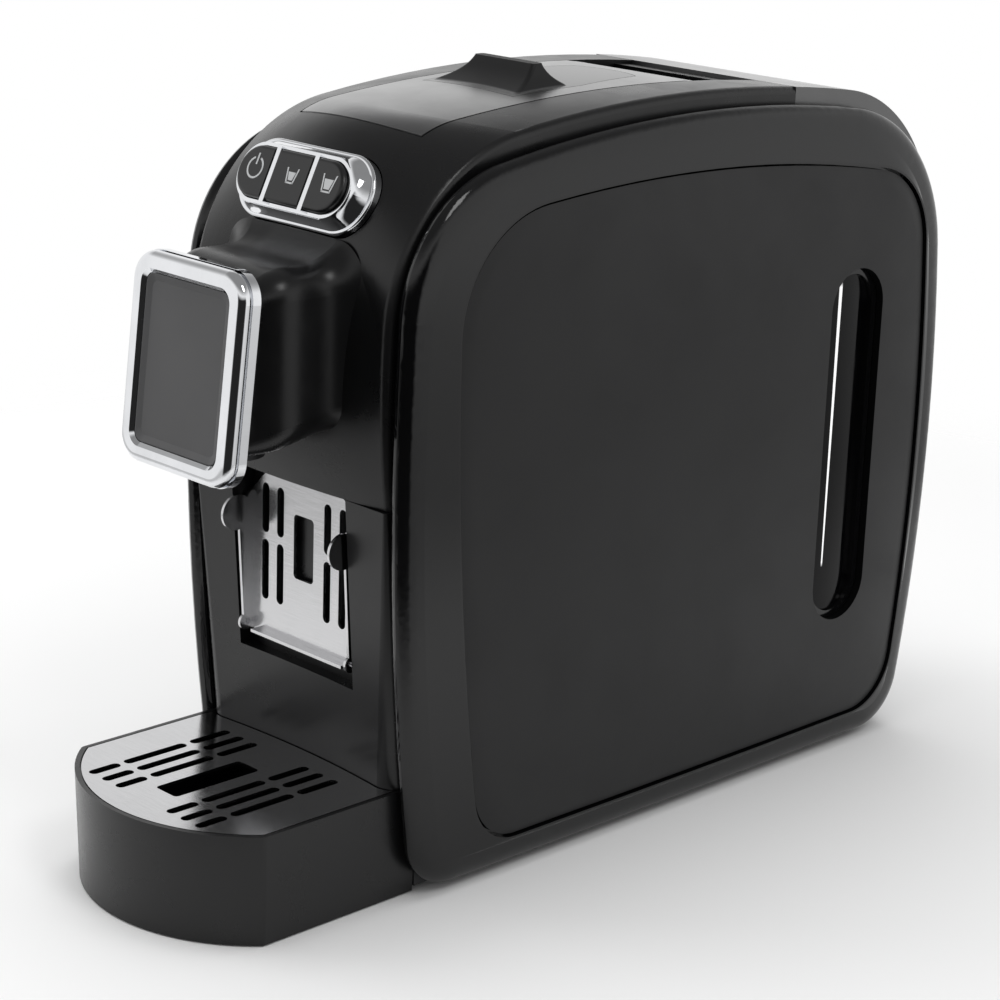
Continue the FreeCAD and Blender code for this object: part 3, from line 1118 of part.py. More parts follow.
def push_arm():
    """Arm from the piston to the crank; the crank pin works in its upright slot."""
    angle = math.radians(LEVER_SWING / 2)
    pin_y = LEVER_Y - CRANK_R * math.sin(angle)
    low_z, high_z = LEVER_Z + CRANK_R * math.cos(angle), LEVER_Z + CRANK_R
    half = CRANK_PIN_R + LOOSE
    rear_y = BREW_PLATE_Y + PISTON_GAP + PISTON_LEN
    top = high_z + half + ARM_EYE - 0.6
    under = low_z - half - ARM_EYE
    y0, y1 = pin_y - half - ARM_EYE, pin_y + half + ARM_EYE
    points = [(rear_y, BREW_Z - ARM_FOOT), (rear_y, BREW_Z + ARM_RISE), (y0 - ARM_REACH, under + ARM_KNEE), (y0, top),
              (y1, top), (y1, under), (y0 - ARM_REACH / 2, under - ARM_KNEE / 3),
              (rear_y + ARM_FOOT, BREW_Z + ARM_STEP), (rear_y + ARM_FOOT, BREW_Z - ARM_FOOT)]
    arm = prism_x(points, -ARM_HALF, ARM_HALF)
    slot = box(-FAR, FAR, pin_y - half, pin_y + half, low_z - half, high_z + half)
    return arm.cut(slot)


def water_tank():
    outer = side_form(TANK_HALF).common(box(-FAR, FAR, TANK_FRONT_Y, FAR, TANK_LOW_Z, TANK_TOP_Z))
    inner = side_form(TANK_HALF - TANK_WALL, TANK_WALL).common(
        box(-FAR, FAR, TANK_FRONT_Y + TANK_WALL, FAR, TANK_LOW_Z + TANK_WALL, FAR))
    ear = box(KNUCKLE_HALF + FIT, KNUCKLE_HALF + FIT + EAR_W, HINGE_Y - 12, HINGE_Y, HINGE_Z - 8, HINGE_Z)
    knuckle = cyl_x(HINGE_R, KNUCKLE_HALF + FIT, KNUCKLE_HALF + FIT + EAR_W, HINGE_Y, HINGE_Z)
    body = outer.cut(inner).multiFuse(both_sides(ear.cut(inner)) + both_sides(knuckle))
    pit = box(-KNUCKLE_HALF - FIT, KNUCKLE_HALF + FIT, HINGE_Y - HINGE_R - HINGE_ROOM, FAR,
              HINGE_Z - HINGE_R - HINGE_ROOM, FAR)
    holes = [cyl_z(VALVE_BORE_R + 0.6, TANK_LOW_Z - 5, TANK_LOW_Z + 10, 0, VALVE_Y),
             cyl_x(HINGE_PIN_R, -FAR, FAR, HINGE_Y, HINGE_Z), pit]
    return body.cut(holes).removeSplitter()


def tank_lid():
    lift = TANK_TOP_Z + FIT
    zone = box(-FAR, FAR, TANK_SEAM_Y, FAR, lift, FAR)
    outer = side_form(BODY_HALF - TANK_LID_INSET).common(zone)
    inner = side_form(BODY_HALF - TANK_LID_INSET - WALL, WALL).common(
        box(-FAR, FAR, TANK_SEAM_Y + WALL, FAR, lift - WALL, FAR))
    knuckle = cyl_x(HINGE_R, -KNUCKLE_HALF, KNUCKLE_HALF, HINGE_Y, HINGE_Z)
    web = box(-KNUCKLE_HALF, KNUCKLE_HALF, HINGE_Y - 9, HINGE_Y, lift, HINGE_Z + HINGE_R)
    bore = cyl_x(HINGE_PIN_R + RUN_FIT, -FAR, FAR, HINGE_Y, HINGE_Z)
    notch = box(KNUCKLE_HALF, KNUCKLE_HALF + EAR_W + 2 * FIT, HINGE_Y - 9, FAR, lift - 1, HINGE_Z + HINGE_R + FIT)
    body = outer.cut([inner] + both_sides(notch)).multiFuse([knuckle, web])
    return body.cut([bore]).removeSplitter()


def tank_pin():
    end = KNUCKLE_HALF + FIT + EAR_W
    return cyl_x(HINGE_PIN_R, -end, end, HINGE_Y, HINGE_Z)


def tank_valve():
    top = TANK_LOW_Z + TANK_WALL
    skirt = cyl_z(VALVE_R, TANK_LOW_Z - 4.0, TANK_LOW_Z, 0, VALVE_Y)
    stem = cyl_z(VALVE_BORE_R, TANK_LOW_Z - 0.5, top + 3, 0, VALVE_Y)
    bore = cyl_z(VALVE_BORE_R - 1.6, TANK_LOW_Z - 5, top + 5, 0, VALVE_Y)
    return skirt.multiFuse([stem]).cut(bore).removeSplitter()


def tank_filter():
    top = TANK_LOW_Z + TANK_WALL
    cage = cyl_z(VALVE_R, top, top + FILTER_H, 0, VALVE_Y)
    core = cyl_z(VALVE_R - 1.4, top - 1, top + FILTER_H - 1.4, 0, VALVE_Y)
    slots = []
    for i in range(4):
        slot = box(-20, 20, -1.2, 1.2, top + 3, top + FILTER_H - 3)
        slot.Placement = FreeCAD.Placement(V(0, VALVE_Y, 0), FreeCAD.Rotation(V(0, 0, 1), 45 * i))
        slots.append(slot)
    return cage.cut([core] + slots).removeSplitter()


def tank_socket():
    floor = FLOOR_Z
    ring = cyl_z(SOCKET_R, floor, TANK_LOW_Z - 1.0, 0, VALVE_Y)
    well = cyl_z(VALVE_R + SLIDE_FIT, floor + 1.6, TANK_LOW_Z + 5, 0, VALVE_Y)
    pipe = cyl_z(VALVE_BORE_R - 2.2, floor, floor + 3.6, 0, VALVE_Y)
    return ring.cut(well).multiFuse([pipe]).removeSplitter()


def pump():
    """Solenoid pump: square coil yoke on a tube with inlet and outlet stubs."""
    y0 = PUMP_FRONT_Y
    yoke = box(PUMP_X - PUMP_COIL_HALF, PUMP_X + PUMP_COIL_HALF, y0 + 22, y0 + 22 + PUMP_COIL_LEN,
               PUMP_Z - PUMP_COIL_HALF, PUMP_Z + PUMP_COIL_HALF)
    coil = cyl_y(PUMP_COIL_HALF - 4, y0 + 18, y0 + 26 + PUMP_COIL_LEN, PUMP_X, PUMP_Z)
    body = cyl_y(PUMP_TUBE_R, y0 + 8, y0 + PUMP_LEN - 6, PUMP_X, PUMP_Z)
    stubs = cyl_y(HOSE_R, y0, y0 + PUMP_LEN, PUMP_X, PUMP_Z)
    return yoke.multiFuse([coil, body, stubs]).removeSplitter()


def pump_cradle():
    top = PUMP_Z - PUMP_COIL_HALF
    y0 = PUMP_FRONT_Y + 26
    foot = box(PUMP_X - CRADLE_HALF, PUMP_X + CRADLE_HALF, y0, y0 + PUMP_COIL_LEN - 8, FLOOR_Z, top)
    gap = box(PUMP_X - CRADLE_HALF + 6, PUMP_X + CRADLE_HALF - 6, y0 - 1, y0 + PUMP_COIL_LEN, FLOOR_Z + 5, top - 5)
    return foot.cut(gap)


def thermoblock():
    """Cast heater block with cooling ribs on its free face, bolted to the right chassis plate."""
    x1 = BREW_HALF
    body = box(BLOCK_X0 + BLOCK_RIB * 2, x1, BLOCK_Y0, BLOCK_Y1, BLOCK_Z0, BLOCK_Z1)
    ribs = []
    pitch = (BLOCK_Z1 - BLOCK_Z0 - BLOCK_RIB) / (BLOCK_RIBS - 1)
    for i in range(BLOCK_RIBS):
        z = BLOCK_Z0 + i * pitch
        ribs.append(box(BLOCK_X0, BLOCK_X0 + BLOCK_RIB * 2 + 1, BLOCK_Y0 + 4, BLOCK_Y1 - 4, z, z + BLOCK_RIB))
    inlet = cyl_z(HOSE_R, BLOCK_Z0 - 8, BLOCK_Z0 + 1, BLOCK_X0 + 24, BLOCK_Y0 + 18)
    outlet = cyl_z(HOSE_R, BLOCK_Z1 - 1, BLOCK_Z1 + 8, BLOCK_X0 + 24, BLOCK_Y0 + 18)
    return body.multiFuse(ribs + [inlet, outlet]).removeSplitter()


def thermostat():
    disc = cyl_z(CUTOUT_R, BLOCK_Z1, BLOCK_Z1 + 5, BLOCK_X0 + 26, BLOCK_Y1 - 14)
    tabs = [box(BLOCK_X0 + 26 + s * 3 - 0.4, BLOCK_X0 + 26 + s * 3 + 0.4, BLOCK_Y1 - 17, BLOCK_Y1 - 11,
                BLOCK_Z1 + 4, BLOCK_Z1 + 12) for s in (-1, 1)]
    return disc.multiFuse(tabs).removeSplitter()


def flow_meter():
    body = cyl_z(METER_R, FLOOR_Z, FLOOR_Z + METER_H, METER_X, METER_Y)
    cap = cyl_z(METER_R - 4, FLOOR_Z + METER_H - 0.5, FLOOR_Z + METER_H + 4, METER_X, METER_Y)
    inlet = cyl_y(HOSE_R, METER_Y, METER_Y + METER_R + 3, METER_X, FLOOR_Z + METER_PORT)
    outlet = cyl_y(HOSE_R, METER_Y - METER_R - 3, METER_Y, METER_X, FLOOR_Z + METER_PORT)
    return body.multiFuse([cap, inlet, outlet]).removeSplitter()


def suction_hose():
    """From the tank socket under the tank and through the chassis wall to the flow meter."""
    z0, z1 = FLOOR_Z + SUCTION_R + FIT, FLOOR_Z + METER_PORT
    y0, y1 = VALVE_Y - SOCKET_R, METER_Y + METER_R + 3
    path = [(0, y0, z0), (0, y0 - 8, z0), (METER_X, y1 + 8, z1), (METER_X, y1, z1)]
    return tube(path, SUCTION_R, 4.0)


def feed_hose():
    """From the flow meter forward and across to the pump's inlet."""
    z = FLOOR_Z + METER_PORT
    y0 = METER_Y - METER_R - 3
    path = [(METER_X, y0, z), (METER_X, PUMP_FRONT_Y - 12, z), (PUMP_X, PUMP_FRONT_Y - 12, PUMP_Z),
            (PUMP_X, PUMP_FRONT_Y, PUMP_Z)]
    return tube(path, HOSE_R, 8.0)


def pressure_hose():
    """From the pump's outlet up to the underside of the thermoblock."""
    y1 = PUMP_FRONT_Y + PUMP_LEN
    bx, by = BLOCK_X0 + BLOCK_PORT_X, BLOCK_Y0 + BLOCK_PORT_Y
    path = [(PUMP_X, y1, PUMP_Z), (PUMP_X, y1 + 9, PUMP_Z), (METER_X - 22, y1 + 6, PUMP_Z + 2),
            (bx, by, BLOCK_Z0 - 20), (bx, by, BLOCK_Z0 - 8)]
    return tube(path, HOSE_R, 4.5)


def hot_hose():
    """From the top of the thermoblock to the side of the brewing beam."""
    bx, by = BLOCK_X0 + BLOCK_PORT_X, BLOCK_Y0 + BLOCK_PORT_Y
    end_x = BREW_HALF - BEAM_W
    path = [(bx, by, BLOCK_Z1 + 8), (bx, by, BLOCK_Z1 + 26), (bx - 4, by - 34, BEAM_LOW_Z + 4),
            (end_x, by - 34, BEAM_LOW_Z + 4)]
    return tube(path, HOSE_R - 1, 6.0)


def control_board():
    """Power board on four posts of the left chassis plate."""
    x0 = -BREW_HALF + PCB_STAND
    board = box(x0, x0 + BOARD_THICK, PCB_Y0, PCB_Y1, PCB_Z0, PCB_Z1)
    parts = [board]
    for y in (PCB_Y0 + 5, PCB_Y1 - 5):
        for z in (PCB_Z0 + 5, PCB_Z1 - 5):
            parts.append(cyl_x(2.5, -BREW_HALF, x0 + 0.2, y, z))
    top = x0 + BOARD_THICK - 0.1
    parts.append(box(top, top + 15, PCB_Y0 + 10, PCB_Y0 + 34, PCB_Z0 + 14, PCB_Z0 + 32))
    parts.append(cyl_x(8.0, top, top + 20, PCB_Y1 - 20, PCB_Z0 + 24))
    parts.append(box(top, top + 18, PCB_Y0 + 14, PCB_Y0 + 40, PCB_Z1 - 36, PCB_Z1 - 12))
    parts.append(box(top, top + 8, PCB_Y1 - 26, PCB_Y1 - 12, PCB_Z1 - 40, PCB_Z1 - 10))
    return parts[0].multiFuse(parts[1:]).removeSplitter()


def mirrored(shape):
    return shape.mirror(V(0, 0, 0), V(1, 0, 0))


def build():
    frame, panel, window = side_frame(), side_panel(), level_window()
    return {
        "upper_shell": upper_shell(),
        "right_side_frame": frame, "left_side_frame": mirrored(frame),
        "right_side_panel": panel, "left_side_panel": mirrored(panel),
        "right_level_window": window, "left_level_window": mirrored(window),
        "base_pan": base_pan(), "base_screws": base_screws(), "feet": feet(), "inlet_gland": inlet_gland(),
        "drip_tray": drip_tray(), "drawer_front": drawer_front(), "capsule_bin": capsule_bin(),
        "drip_grid": drip_grid(), "cup_shelf": cup_shelf(), "shelf_pins": shelf_pins(),
        "head_bezel": head_bezel(), "head_plate": head_plate(), "spout_nozzle": spout_nozzle(),
        "spout_duct": spout_duct(), "turret_bezel": turret_bezel(),
        "power_button": button(-1), "small_cup_button": button(0), "large_cup_button": button(1),
        "button_board": button_board(),
        "lever_lid": lever_lid(), "fin_grip": fin_grip(), "crank_pin": crank_pin(), "lever_pin": lever_pin(),
        "chassis": chassis(), "brew_frame": brew_frame(), "rear_bridge": rear_bridge(),
        "guide_rods": guide_rods(), "piston": piston(), "piston_seal": piston_seal(), "needles": needles(),
        "push_arm": push_arm(),
        "water_tank": water_tank(), "tank_lid": tank_lid(), "tank_pin": tank_pin(),
        "tank_valve": tank_valve(), "tank_filter": tank_filter(), "tank_socket": tank_socket(),
        "pump": pump(), "pump_cradle": pump_cradle(), "thermoblock": thermoblock(),
        "thermostat": thermostat(), "flow_meter": flow_meter(), "suction_hose": suction_hose(), "feed_hose": feed_hose(),
        "pressure_hose": pressure_hose(), "hot_hose": hot_hose(), "control_board": control_board(),
    }


def main():
    os.makedirs("parts", exist_ok=True)
    for name, shape in build().items():
        solids = len(shape.Solids)
        print(f"{name}: {solids} solid, volume {shape.Volume:.0f}, valid {shape.isValid()}")
        shape.exportStep(os.path.join("parts", name + ".step"))


if __name__ == "__main__":
    main()
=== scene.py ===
"""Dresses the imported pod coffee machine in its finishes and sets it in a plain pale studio."""

import abc
import enum
import json
import logging
import math
from dataclasses import dataclass, field
from typing import Any

import bmesh
import bpy
from mathutils import Matrix, Vector

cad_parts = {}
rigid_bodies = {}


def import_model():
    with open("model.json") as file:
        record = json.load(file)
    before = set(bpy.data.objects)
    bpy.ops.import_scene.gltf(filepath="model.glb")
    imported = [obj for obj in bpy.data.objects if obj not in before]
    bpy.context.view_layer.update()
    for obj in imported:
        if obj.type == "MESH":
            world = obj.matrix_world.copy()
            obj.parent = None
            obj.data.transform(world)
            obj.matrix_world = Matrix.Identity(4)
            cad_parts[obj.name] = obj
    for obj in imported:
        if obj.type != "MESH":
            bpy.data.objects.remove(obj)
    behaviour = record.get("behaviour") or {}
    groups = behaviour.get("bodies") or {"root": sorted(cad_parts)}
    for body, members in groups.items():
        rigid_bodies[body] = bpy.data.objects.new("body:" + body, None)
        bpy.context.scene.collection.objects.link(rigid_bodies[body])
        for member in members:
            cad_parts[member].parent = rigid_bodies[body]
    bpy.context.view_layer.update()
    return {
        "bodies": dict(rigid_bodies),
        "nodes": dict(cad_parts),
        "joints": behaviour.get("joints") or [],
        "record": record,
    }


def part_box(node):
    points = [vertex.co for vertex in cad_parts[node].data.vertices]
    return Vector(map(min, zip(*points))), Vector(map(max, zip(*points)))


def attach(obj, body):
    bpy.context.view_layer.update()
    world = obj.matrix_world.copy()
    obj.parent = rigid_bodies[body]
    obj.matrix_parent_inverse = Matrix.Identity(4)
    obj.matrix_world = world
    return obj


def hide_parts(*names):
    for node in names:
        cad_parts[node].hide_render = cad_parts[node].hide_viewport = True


log = logging.getLogger("coffee_machine")

Colour = tuple[float, float, float]
Point = tuple[float, float, float]
Span = tuple[float, float]
Frame = dict[str, Any]
Node = bpy.types.Node
Socket = bpy.types.NodeSocket

MM = 0.001
UNIT: Span = (0.0, 1.0)
WHITE: Colour = (1.0, 1.0, 1.0)
BLACK: Colour = (0.0, 0.0, 0.0)


class Slot(enum.Enum):
    """Names of the finishes."""

    SATIN_BLACK = "satin_black"
    LID_SATIN = "lid_satin"
    FIN_BLACK = "fin_black"
    GLOSS_BLACK = "gloss_black"
    SIDE_BLACK = "side_black"
    SMOKED_WINDOW = "smoked_window"
    INNER_BLACK = "inner_black"
    CHROME = "chrome"
    PLATE_GREY = "plate_grey"
    KEY_BLACK = "key_black"
    STEEL = "steel"
    SHEET_STEEL = "sheet_steel"
    PIN_STEEL = "pin_steel"
    RUBBER = "rubber"
    SILICONE = "silicone"
    TANK_CLEAR = "tank_clear"
    GREY_PLASTIC = "grey_plastic"
    ALUMINIUM = "aluminium"
    COIL = "coil"
    BOARD_GREEN = "board_green"


class Effect(enum.Enum):
    """Surface effects that several finishes share."""

    MOULDED_GRAIN = "moulded_grain"
    HANDLING_FILM = "handling_film"
    BRUSHED_LINES = "brushed_lines"
    CAST_SKIN = "cast_skin"


def toned(colour: Colour, gain: float, lift: float = 0.0) -> Colour:
    """Gives a lighter or darker shade of a colour.

    Args:
        colour: The colour to start from.
        gain: Factor on each channel.
        lift: Amount added to each channel.

    Returns:
        The shade, held at white.
    """
    red, green, blue = (min(1.0, channel * gain + lift) for channel in colour)
    return red, green, blue


class NodePad:
    """Thin helper over a node tree that adds nodes and links them."""

    def __init__(self, tree: bpy.types.NodeTree) -> None:
        """Takes the tree to work on.

        Args:
            tree: The node tree of a material, a world or a group.
        """
        self.tree = tree

    def add(self, kind: str, settings: dict[str, Any] | None = None,
            inputs: dict[Any, Any] | None = None) -> Node:
        """Adds a node.

        Args:
            kind: The node's type name.
            settings: Properties to set on the node.
            inputs: Default values by socket name or index.

        Returns:
            The new node.
        """
        node = self.tree.nodes.new(kind)
        for name, value in (settings or {}).items():
            setattr(node, name, value)
        for key, value in (inputs or {}).items():
            node.inputs[key].default_value = value
        return node

    def link(self, source: Socket, target: Socket) -> None:
        """Joins an output socket to an input socket."""
        self.tree.links.new(source, target)

    def put(self, value: Socket | Colour | float, target: Socket) -> None:
        """Feeds an input socket.

        Args:
            value: A socket to join to it, or a colour or number to set on it.
            target: The input socket.
        """
        if isinstance(value, Socket):
            self.link(value, target)
        elif isinstance(value, tuple):
            target.default_value = (*value, 1.0)
        else:
            target.default_value = value

    def noise(self, vector: Socket, scale: Socket | float, detail: float, rough: float = 0.5) -> Node:
        """Adds a noise texture.

        Args:
            vector: Where the texture reads its place from.
            scale: Texture scale, in turns to the metre.
            detail: Octaves of finer noise.
            rough: How strong the finer octaves are.

        Returns:
            The texture node.
        """
        node = self.add("ShaderNodeTexNoise", inputs={"Detail": detail, "Roughness": rough})
        self.link(vector, node.inputs["Vector"])
        self.put(scale, node.inputs["Scale"])
        return node

    def remap(self, value: Socket, old: Span, new: Span) -> Socket:
        """Maps a value from one range into another, with its ends held.

        Args:
            value: The socket to map.
            old: Range that comes in.
            new: Range that goes out.

        Returns:
            The mapped value socket.
        """
        node = self.add("ShaderNodeMapRange", inputs={1: old[0], 2: old[1], 3: new[0], 4: new[1]})
        self.link(value, node.inputs[0])
        return node.outputs[0]

    def ease(self, value: Socket, start: float, end: float) -> Socket:
        """Rises softly from 0 at one value to 1 at another.

        Args:
            value: The socket to read.
            start: Value where the result is 0.
            end: Value where the result is 1.

        Returns:
            The eased socket.
        """
        eased = self.remap(value, (start, end), UNIT)
        eased.node.interpolation_type = "SMOOTHSTEP"
        return eased

    def mix(self, factor: Socket, first: Socket | Colour, second: Socket | Colour) -> Socket:
        """Mixes two colours by a varying factor.

        Args:
            factor: The socket that mixes them.
            first: Colour at factor 0.
            second: Colour at factor 1.

        Returns:
            The colour socket.
        """
        node = self.add("ShaderNodeMix", {"data_type": "RGBA"})
        self.link(factor, node.inputs[0])
        self.put(first, node.inputs[6])
        self.put(second, node.inputs[7])
        return node.outputs[2]

    def math(self, operation: str, first: Socket | float, second: Socket | float) -> Socket:
        """Adds a math node.

        Args:
            operation: Name of the operation.
            first: First value, a socket or a number.
            second: Second value, a socket or a number.

        Returns:
            The result socket.
        """
        node = self.add("ShaderNodeMath", {"operation": operation})
        self.put(first, node.inputs[0])
        self.put(second, node.inputs[1])
        return node.outputs[0]

    def vector(self, operation: str, *values: Socket | Point | Vector) -> Node:
        """Adds a vector math node.

        Args:
            operation: Name of the operation.
            values: Its vectors, each a socket or plain numbers.

        Returns:
            The new node.
        """
        node = self.add("ShaderNodeVectorMath", {"operation": operation})
        for value, target in zip(values, node.inputs):
            if isinstance(value, Socket):
                self.link(value, target)
            else:
                target.default_value = value
        return node

    def axes(self, vector: Socket) -> tuple[Socket, Socket, Socket]:
        """Splits a vector.

        Args:
            vector: The vector socket.

        Returns:
            Its sockets across, along and up the machine.
        """
        parts = self.add("ShaderNodeSeparateXYZ")
        self.link(vector, parts.inputs[0])
        across, along, up = parts.outputs
        return across, along, up

    def bump(self, height: Socket, strength: float, distance: float) -> Socket:
        """Turns a height into a normal.

        Args:
            height: The height socket.
            strength: Share of the full bump.
            distance: Height of the full bump in metres.

        Returns:
            The normal socket.
        """
        node = self.add("ShaderNodeBump", inputs={"Strength": strength, "Distance": distance})
        self.link(height, node.inputs["Height"])
        return node.outputs[0]


class EffectLibrary:
    """The shared surface effects, each built once as a shader node group."""

    DRIFT_BAND: Span = (0.35, 0.65)
    SMEAR_BAND: Span = (0.38, 0.70)
    LINE_BAND: Span = (0.30, 0.70)
    SMEAR_PULL: Point = (0.05, 0.05, 0.05)
    DRIFT_SCALE = 9.0
    BEND_SCALE = 14.0
    FLOW_SCALE = 60.0

    def __init__(self) -> None:
        """Builds every group."""
        makers = {
            Effect.MOULDED_GRAIN: self._moulded_grain,
            Effect.HANDLING_FILM: self._handling_film,
            Effect.BRUSHED_LINES: self._brushed_lines,
            Effect.CAST_SKIN: self._cast_skin,
        }
        self.groups: dict[Effect, bpy.types.NodeTree] = {
            effect: maker(effect.value) for effect, maker in makers.items()}

    @staticmethod
    def _open(name: str, values: tuple[str, ...], results: tuple[str, ...]) -> tuple[NodePad, Any, Any]:
        """Starts a group with a Vector input.

        Args:
            name: Name of the group.
            values: Names of its number inputs.
            results: Names of its number outputs.

        Returns:
            The pad, the sockets of the group's input node and those of its output node.
        """
        tree = bpy.data.node_groups.new(name, "ShaderNodeTree")
        tree.interface.new_socket("Vector", in_out="INPUT", socket_type="NodeSocketVector")
        for value in values:
            tree.interface.new_socket(value, in_out="INPUT", socket_type="NodeSocketFloat")
        for result in results:
            tree.interface.new_socket(result, in_out="OUTPUT", socket_type="NodeSocketFloat")
        pad = NodePad(tree)
        return pad, pad.add("NodeGroupInput").outputs, pad.add("NodeGroupOutput").inputs

    def _moulded_grain(self, name: str) -> bpy.types.NodeTree:
        """Makes the fine spark-eroded grain of a moulded plastic face, with a slow drift of tone.

        Args:
            name: Name of the group.

        Returns:
            The group.
        """
        pad, given, put_out = self._open(name, ("Scale",), ("Height", "Tint"))
        fine = pad.noise(given["Vector"], given["Scale"], detail=3.0, rough=0.6)
        cells = pad.add("ShaderNodeTexVoronoi", {"feature": "SMOOTH_F1"})
        for socket in ("Vector", "Scale"):
            pad.link(given[socket], cells.inputs[socket])
        pad.link(pad.math("ADD", fine.outputs[0], cells.outputs["Distance"]), put_out["Height"])
        drift = pad.noise(given["Vector"], self.DRIFT_SCALE, detail=3.0)
        pad.link(pad.remap(drift.outputs[0], self.DRIFT_BAND, UNIT), put_out["Tint"])
        return pad.tree

    def _handling_film(self, name: str) -> bpy.types.NodeTree:
        """Makes soft smears of handling that change how a face shines.

        Args:
            name: Name of the group.

        Returns:
            The group.
        """
        pad, given, put_out = self._open(name, ("Scale",), ("Film",))
        bend = pad.noise(given["Vector"], self.BEND_SCALE, detail=2.0)
        pull = pad.vector("MULTIPLY_ADD", bend.outputs["Color"], self.SMEAR_PULL, given["Vector"])
        smear = pad.noise(pull.outputs[0], given["Scale"], detail=5.0, rough=0.62)
        pad.link(pad.remap(smear.outputs[0], self.SMEAR_BAND, UNIT), put_out["Film"])
        return pad.tree

    def _brushed_lines(self, name: str) -> bpy.types.NodeTree:
        """Makes long fine lines across the machine, as a brush or a rolling mill leaves.

        Args:
            name: Name of the group.

        Returns:
            The group.
        """
        pad, given, put_out = self._open(name, ("Scale", "Stretch"), ("Lines",))
        axis = pad.add("ShaderNodeCombineXYZ", inputs={1: 1.0, 2: 1.0})
        pad.link(pad.math("DIVIDE", 1.0, given["Stretch"]), axis.inputs[0])
        pull = pad.vector("MULTIPLY", given["Vector"], axis.outputs[0])
        lines = pad.noise(pull.outputs[0], given["Scale"], detail=4.0, rough=0.7)
        pad.link(pad.remap(lines.outputs[0], self.LINE_BAND, UNIT), put_out["Lines"])
        return pad.tree

    def _cast_skin(self, name: str) -> bpy.types.NodeTree:
        """Makes the sandy skin and flow marks of a casting.

        Args:
            name: Name of the group.

        Returns:
            The group.
        """
        pad, given, put_out = self._open(name, ("Scale",), ("Height", "Tint"))
        sand = pad.noise(given["Vector"], given["Scale"], detail=6.0, rough=0.65)
        pad.link(sand.outputs[0], put_out["Height"])
        flow = pad.noise(given["Vector"], self.FLOW_SCALE, detail=3.0)
        pad.link(pad.remap(flow.outputs[0], self.DRIFT_BAND, UNIT), put_out["Tint"])
        return pad.tree


@dataclass(frozen=True)
class Bench:
    """One material's nodes, and the shared effects that a finish places among them."""

    pad: NodePad
    shader: Node
    place: Socket
    effects: EffectLibrary

    def effect(self, effect: Effect, **values: float) -> Any:
        """Places a shared effect on the object's coordinates.

        Args:
            effect: Which effect to place.
            values: Its number inputs by name.

        Returns:
            The sockets that it puts out.
        """
        node = self.pad.add("ShaderNodeGroup", {"node_tree": self.effects.groups[effect]})
        self.pad.link(self.place, node.inputs["Vector"])
        for name, value in values.items():
            node.inputs[name].default_value = value
        return node.outputs

    def feed(self, name: str, source: Socket) -> None:
        """Joins a value that changes over the surface to a socket of the shader."""
        self.pad.link(source, self.shader.inputs[name])

    def fix(self, name: str, value: float) -> None:
        """Sets a value that is the same all over the surface on a socket of the shader."""
        self.shader.inputs[name].default_value = value

    def spread(self, name: str, mask: Socket, ends: Span) -> None:
        """Spreads a mask from 0 to 1 over a range and feeds it to a socket of the shader."""
        self.feed(name, self.pad.remap(mask, UNIT, ends))


@dataclass(frozen=True)
class Finish(abc.ABC):
    """What a surface is made of. Each kind of finish builds its own node material."""

    name: str

    def material(self, effects: EffectLibrary) -> bpy.types.Material:
        """Builds the material.

        Args:
            effects: The shared surface effects.

        Returns:
            The new material.
        """
        material = bpy.data.materials.new(self.name)
        material.use_nodes = True
        pad = NodePad(material.node_tree)
        place = pad.add("ShaderNodeTexCoord").outputs["Object"]
        self.lay(Bench(pad, material.node_tree.nodes["Principled BSDF"], place, effects))
        return material

    @abc.abstractmethod
    def lay(self, bench: Bench) -> None:
        """Joins the finish's nodes to the shader.

        Args:
            bench: The material's nodes and the shared effects.
        """


@dataclass(frozen=True)
class MouldedPlastic(Finish):
    """Injection-moulded plastic, from a polished tool or a grained one."""

    tone: Colour
    rough: Span = (0.34, 0.44)
    specular: float = 0.5
    grain: float = 1500.0
    grain_depth: float = 0.10
    grain_height: float = 0.1 * MM
    drift: float = 1.25
    film: float = 26.0
    coat: float = 0.0

    def lay(self, bench: Bench) -> None:
        """Lays grain in the normal, slow drift in the tone and handling in the shine.

        Args:
            bench: The material's nodes and the shared effects.
        """
        pad = bench.pad
        grain = bench.effect(Effect.MOULDED_GRAIN, Scale=self.grain)
        film = bench.effect(Effect.HANDLING_FILM, Scale=self.film)
        bench.feed("Base Color", pad.mix(grain["Tint"], self.tone, toned(self.tone, self.drift)))
        bench.spread("Roughness", film["Film"], self.rough)
        bench.feed("Normal", pad.bump(grain["Height"], self.grain_depth, self.grain_height))
        bench.fix("Specular IOR Level", self.specular)
        bench.fix("Coat Weight", self.coat)
        bench.fix("Coat Roughness", self.rough[0])


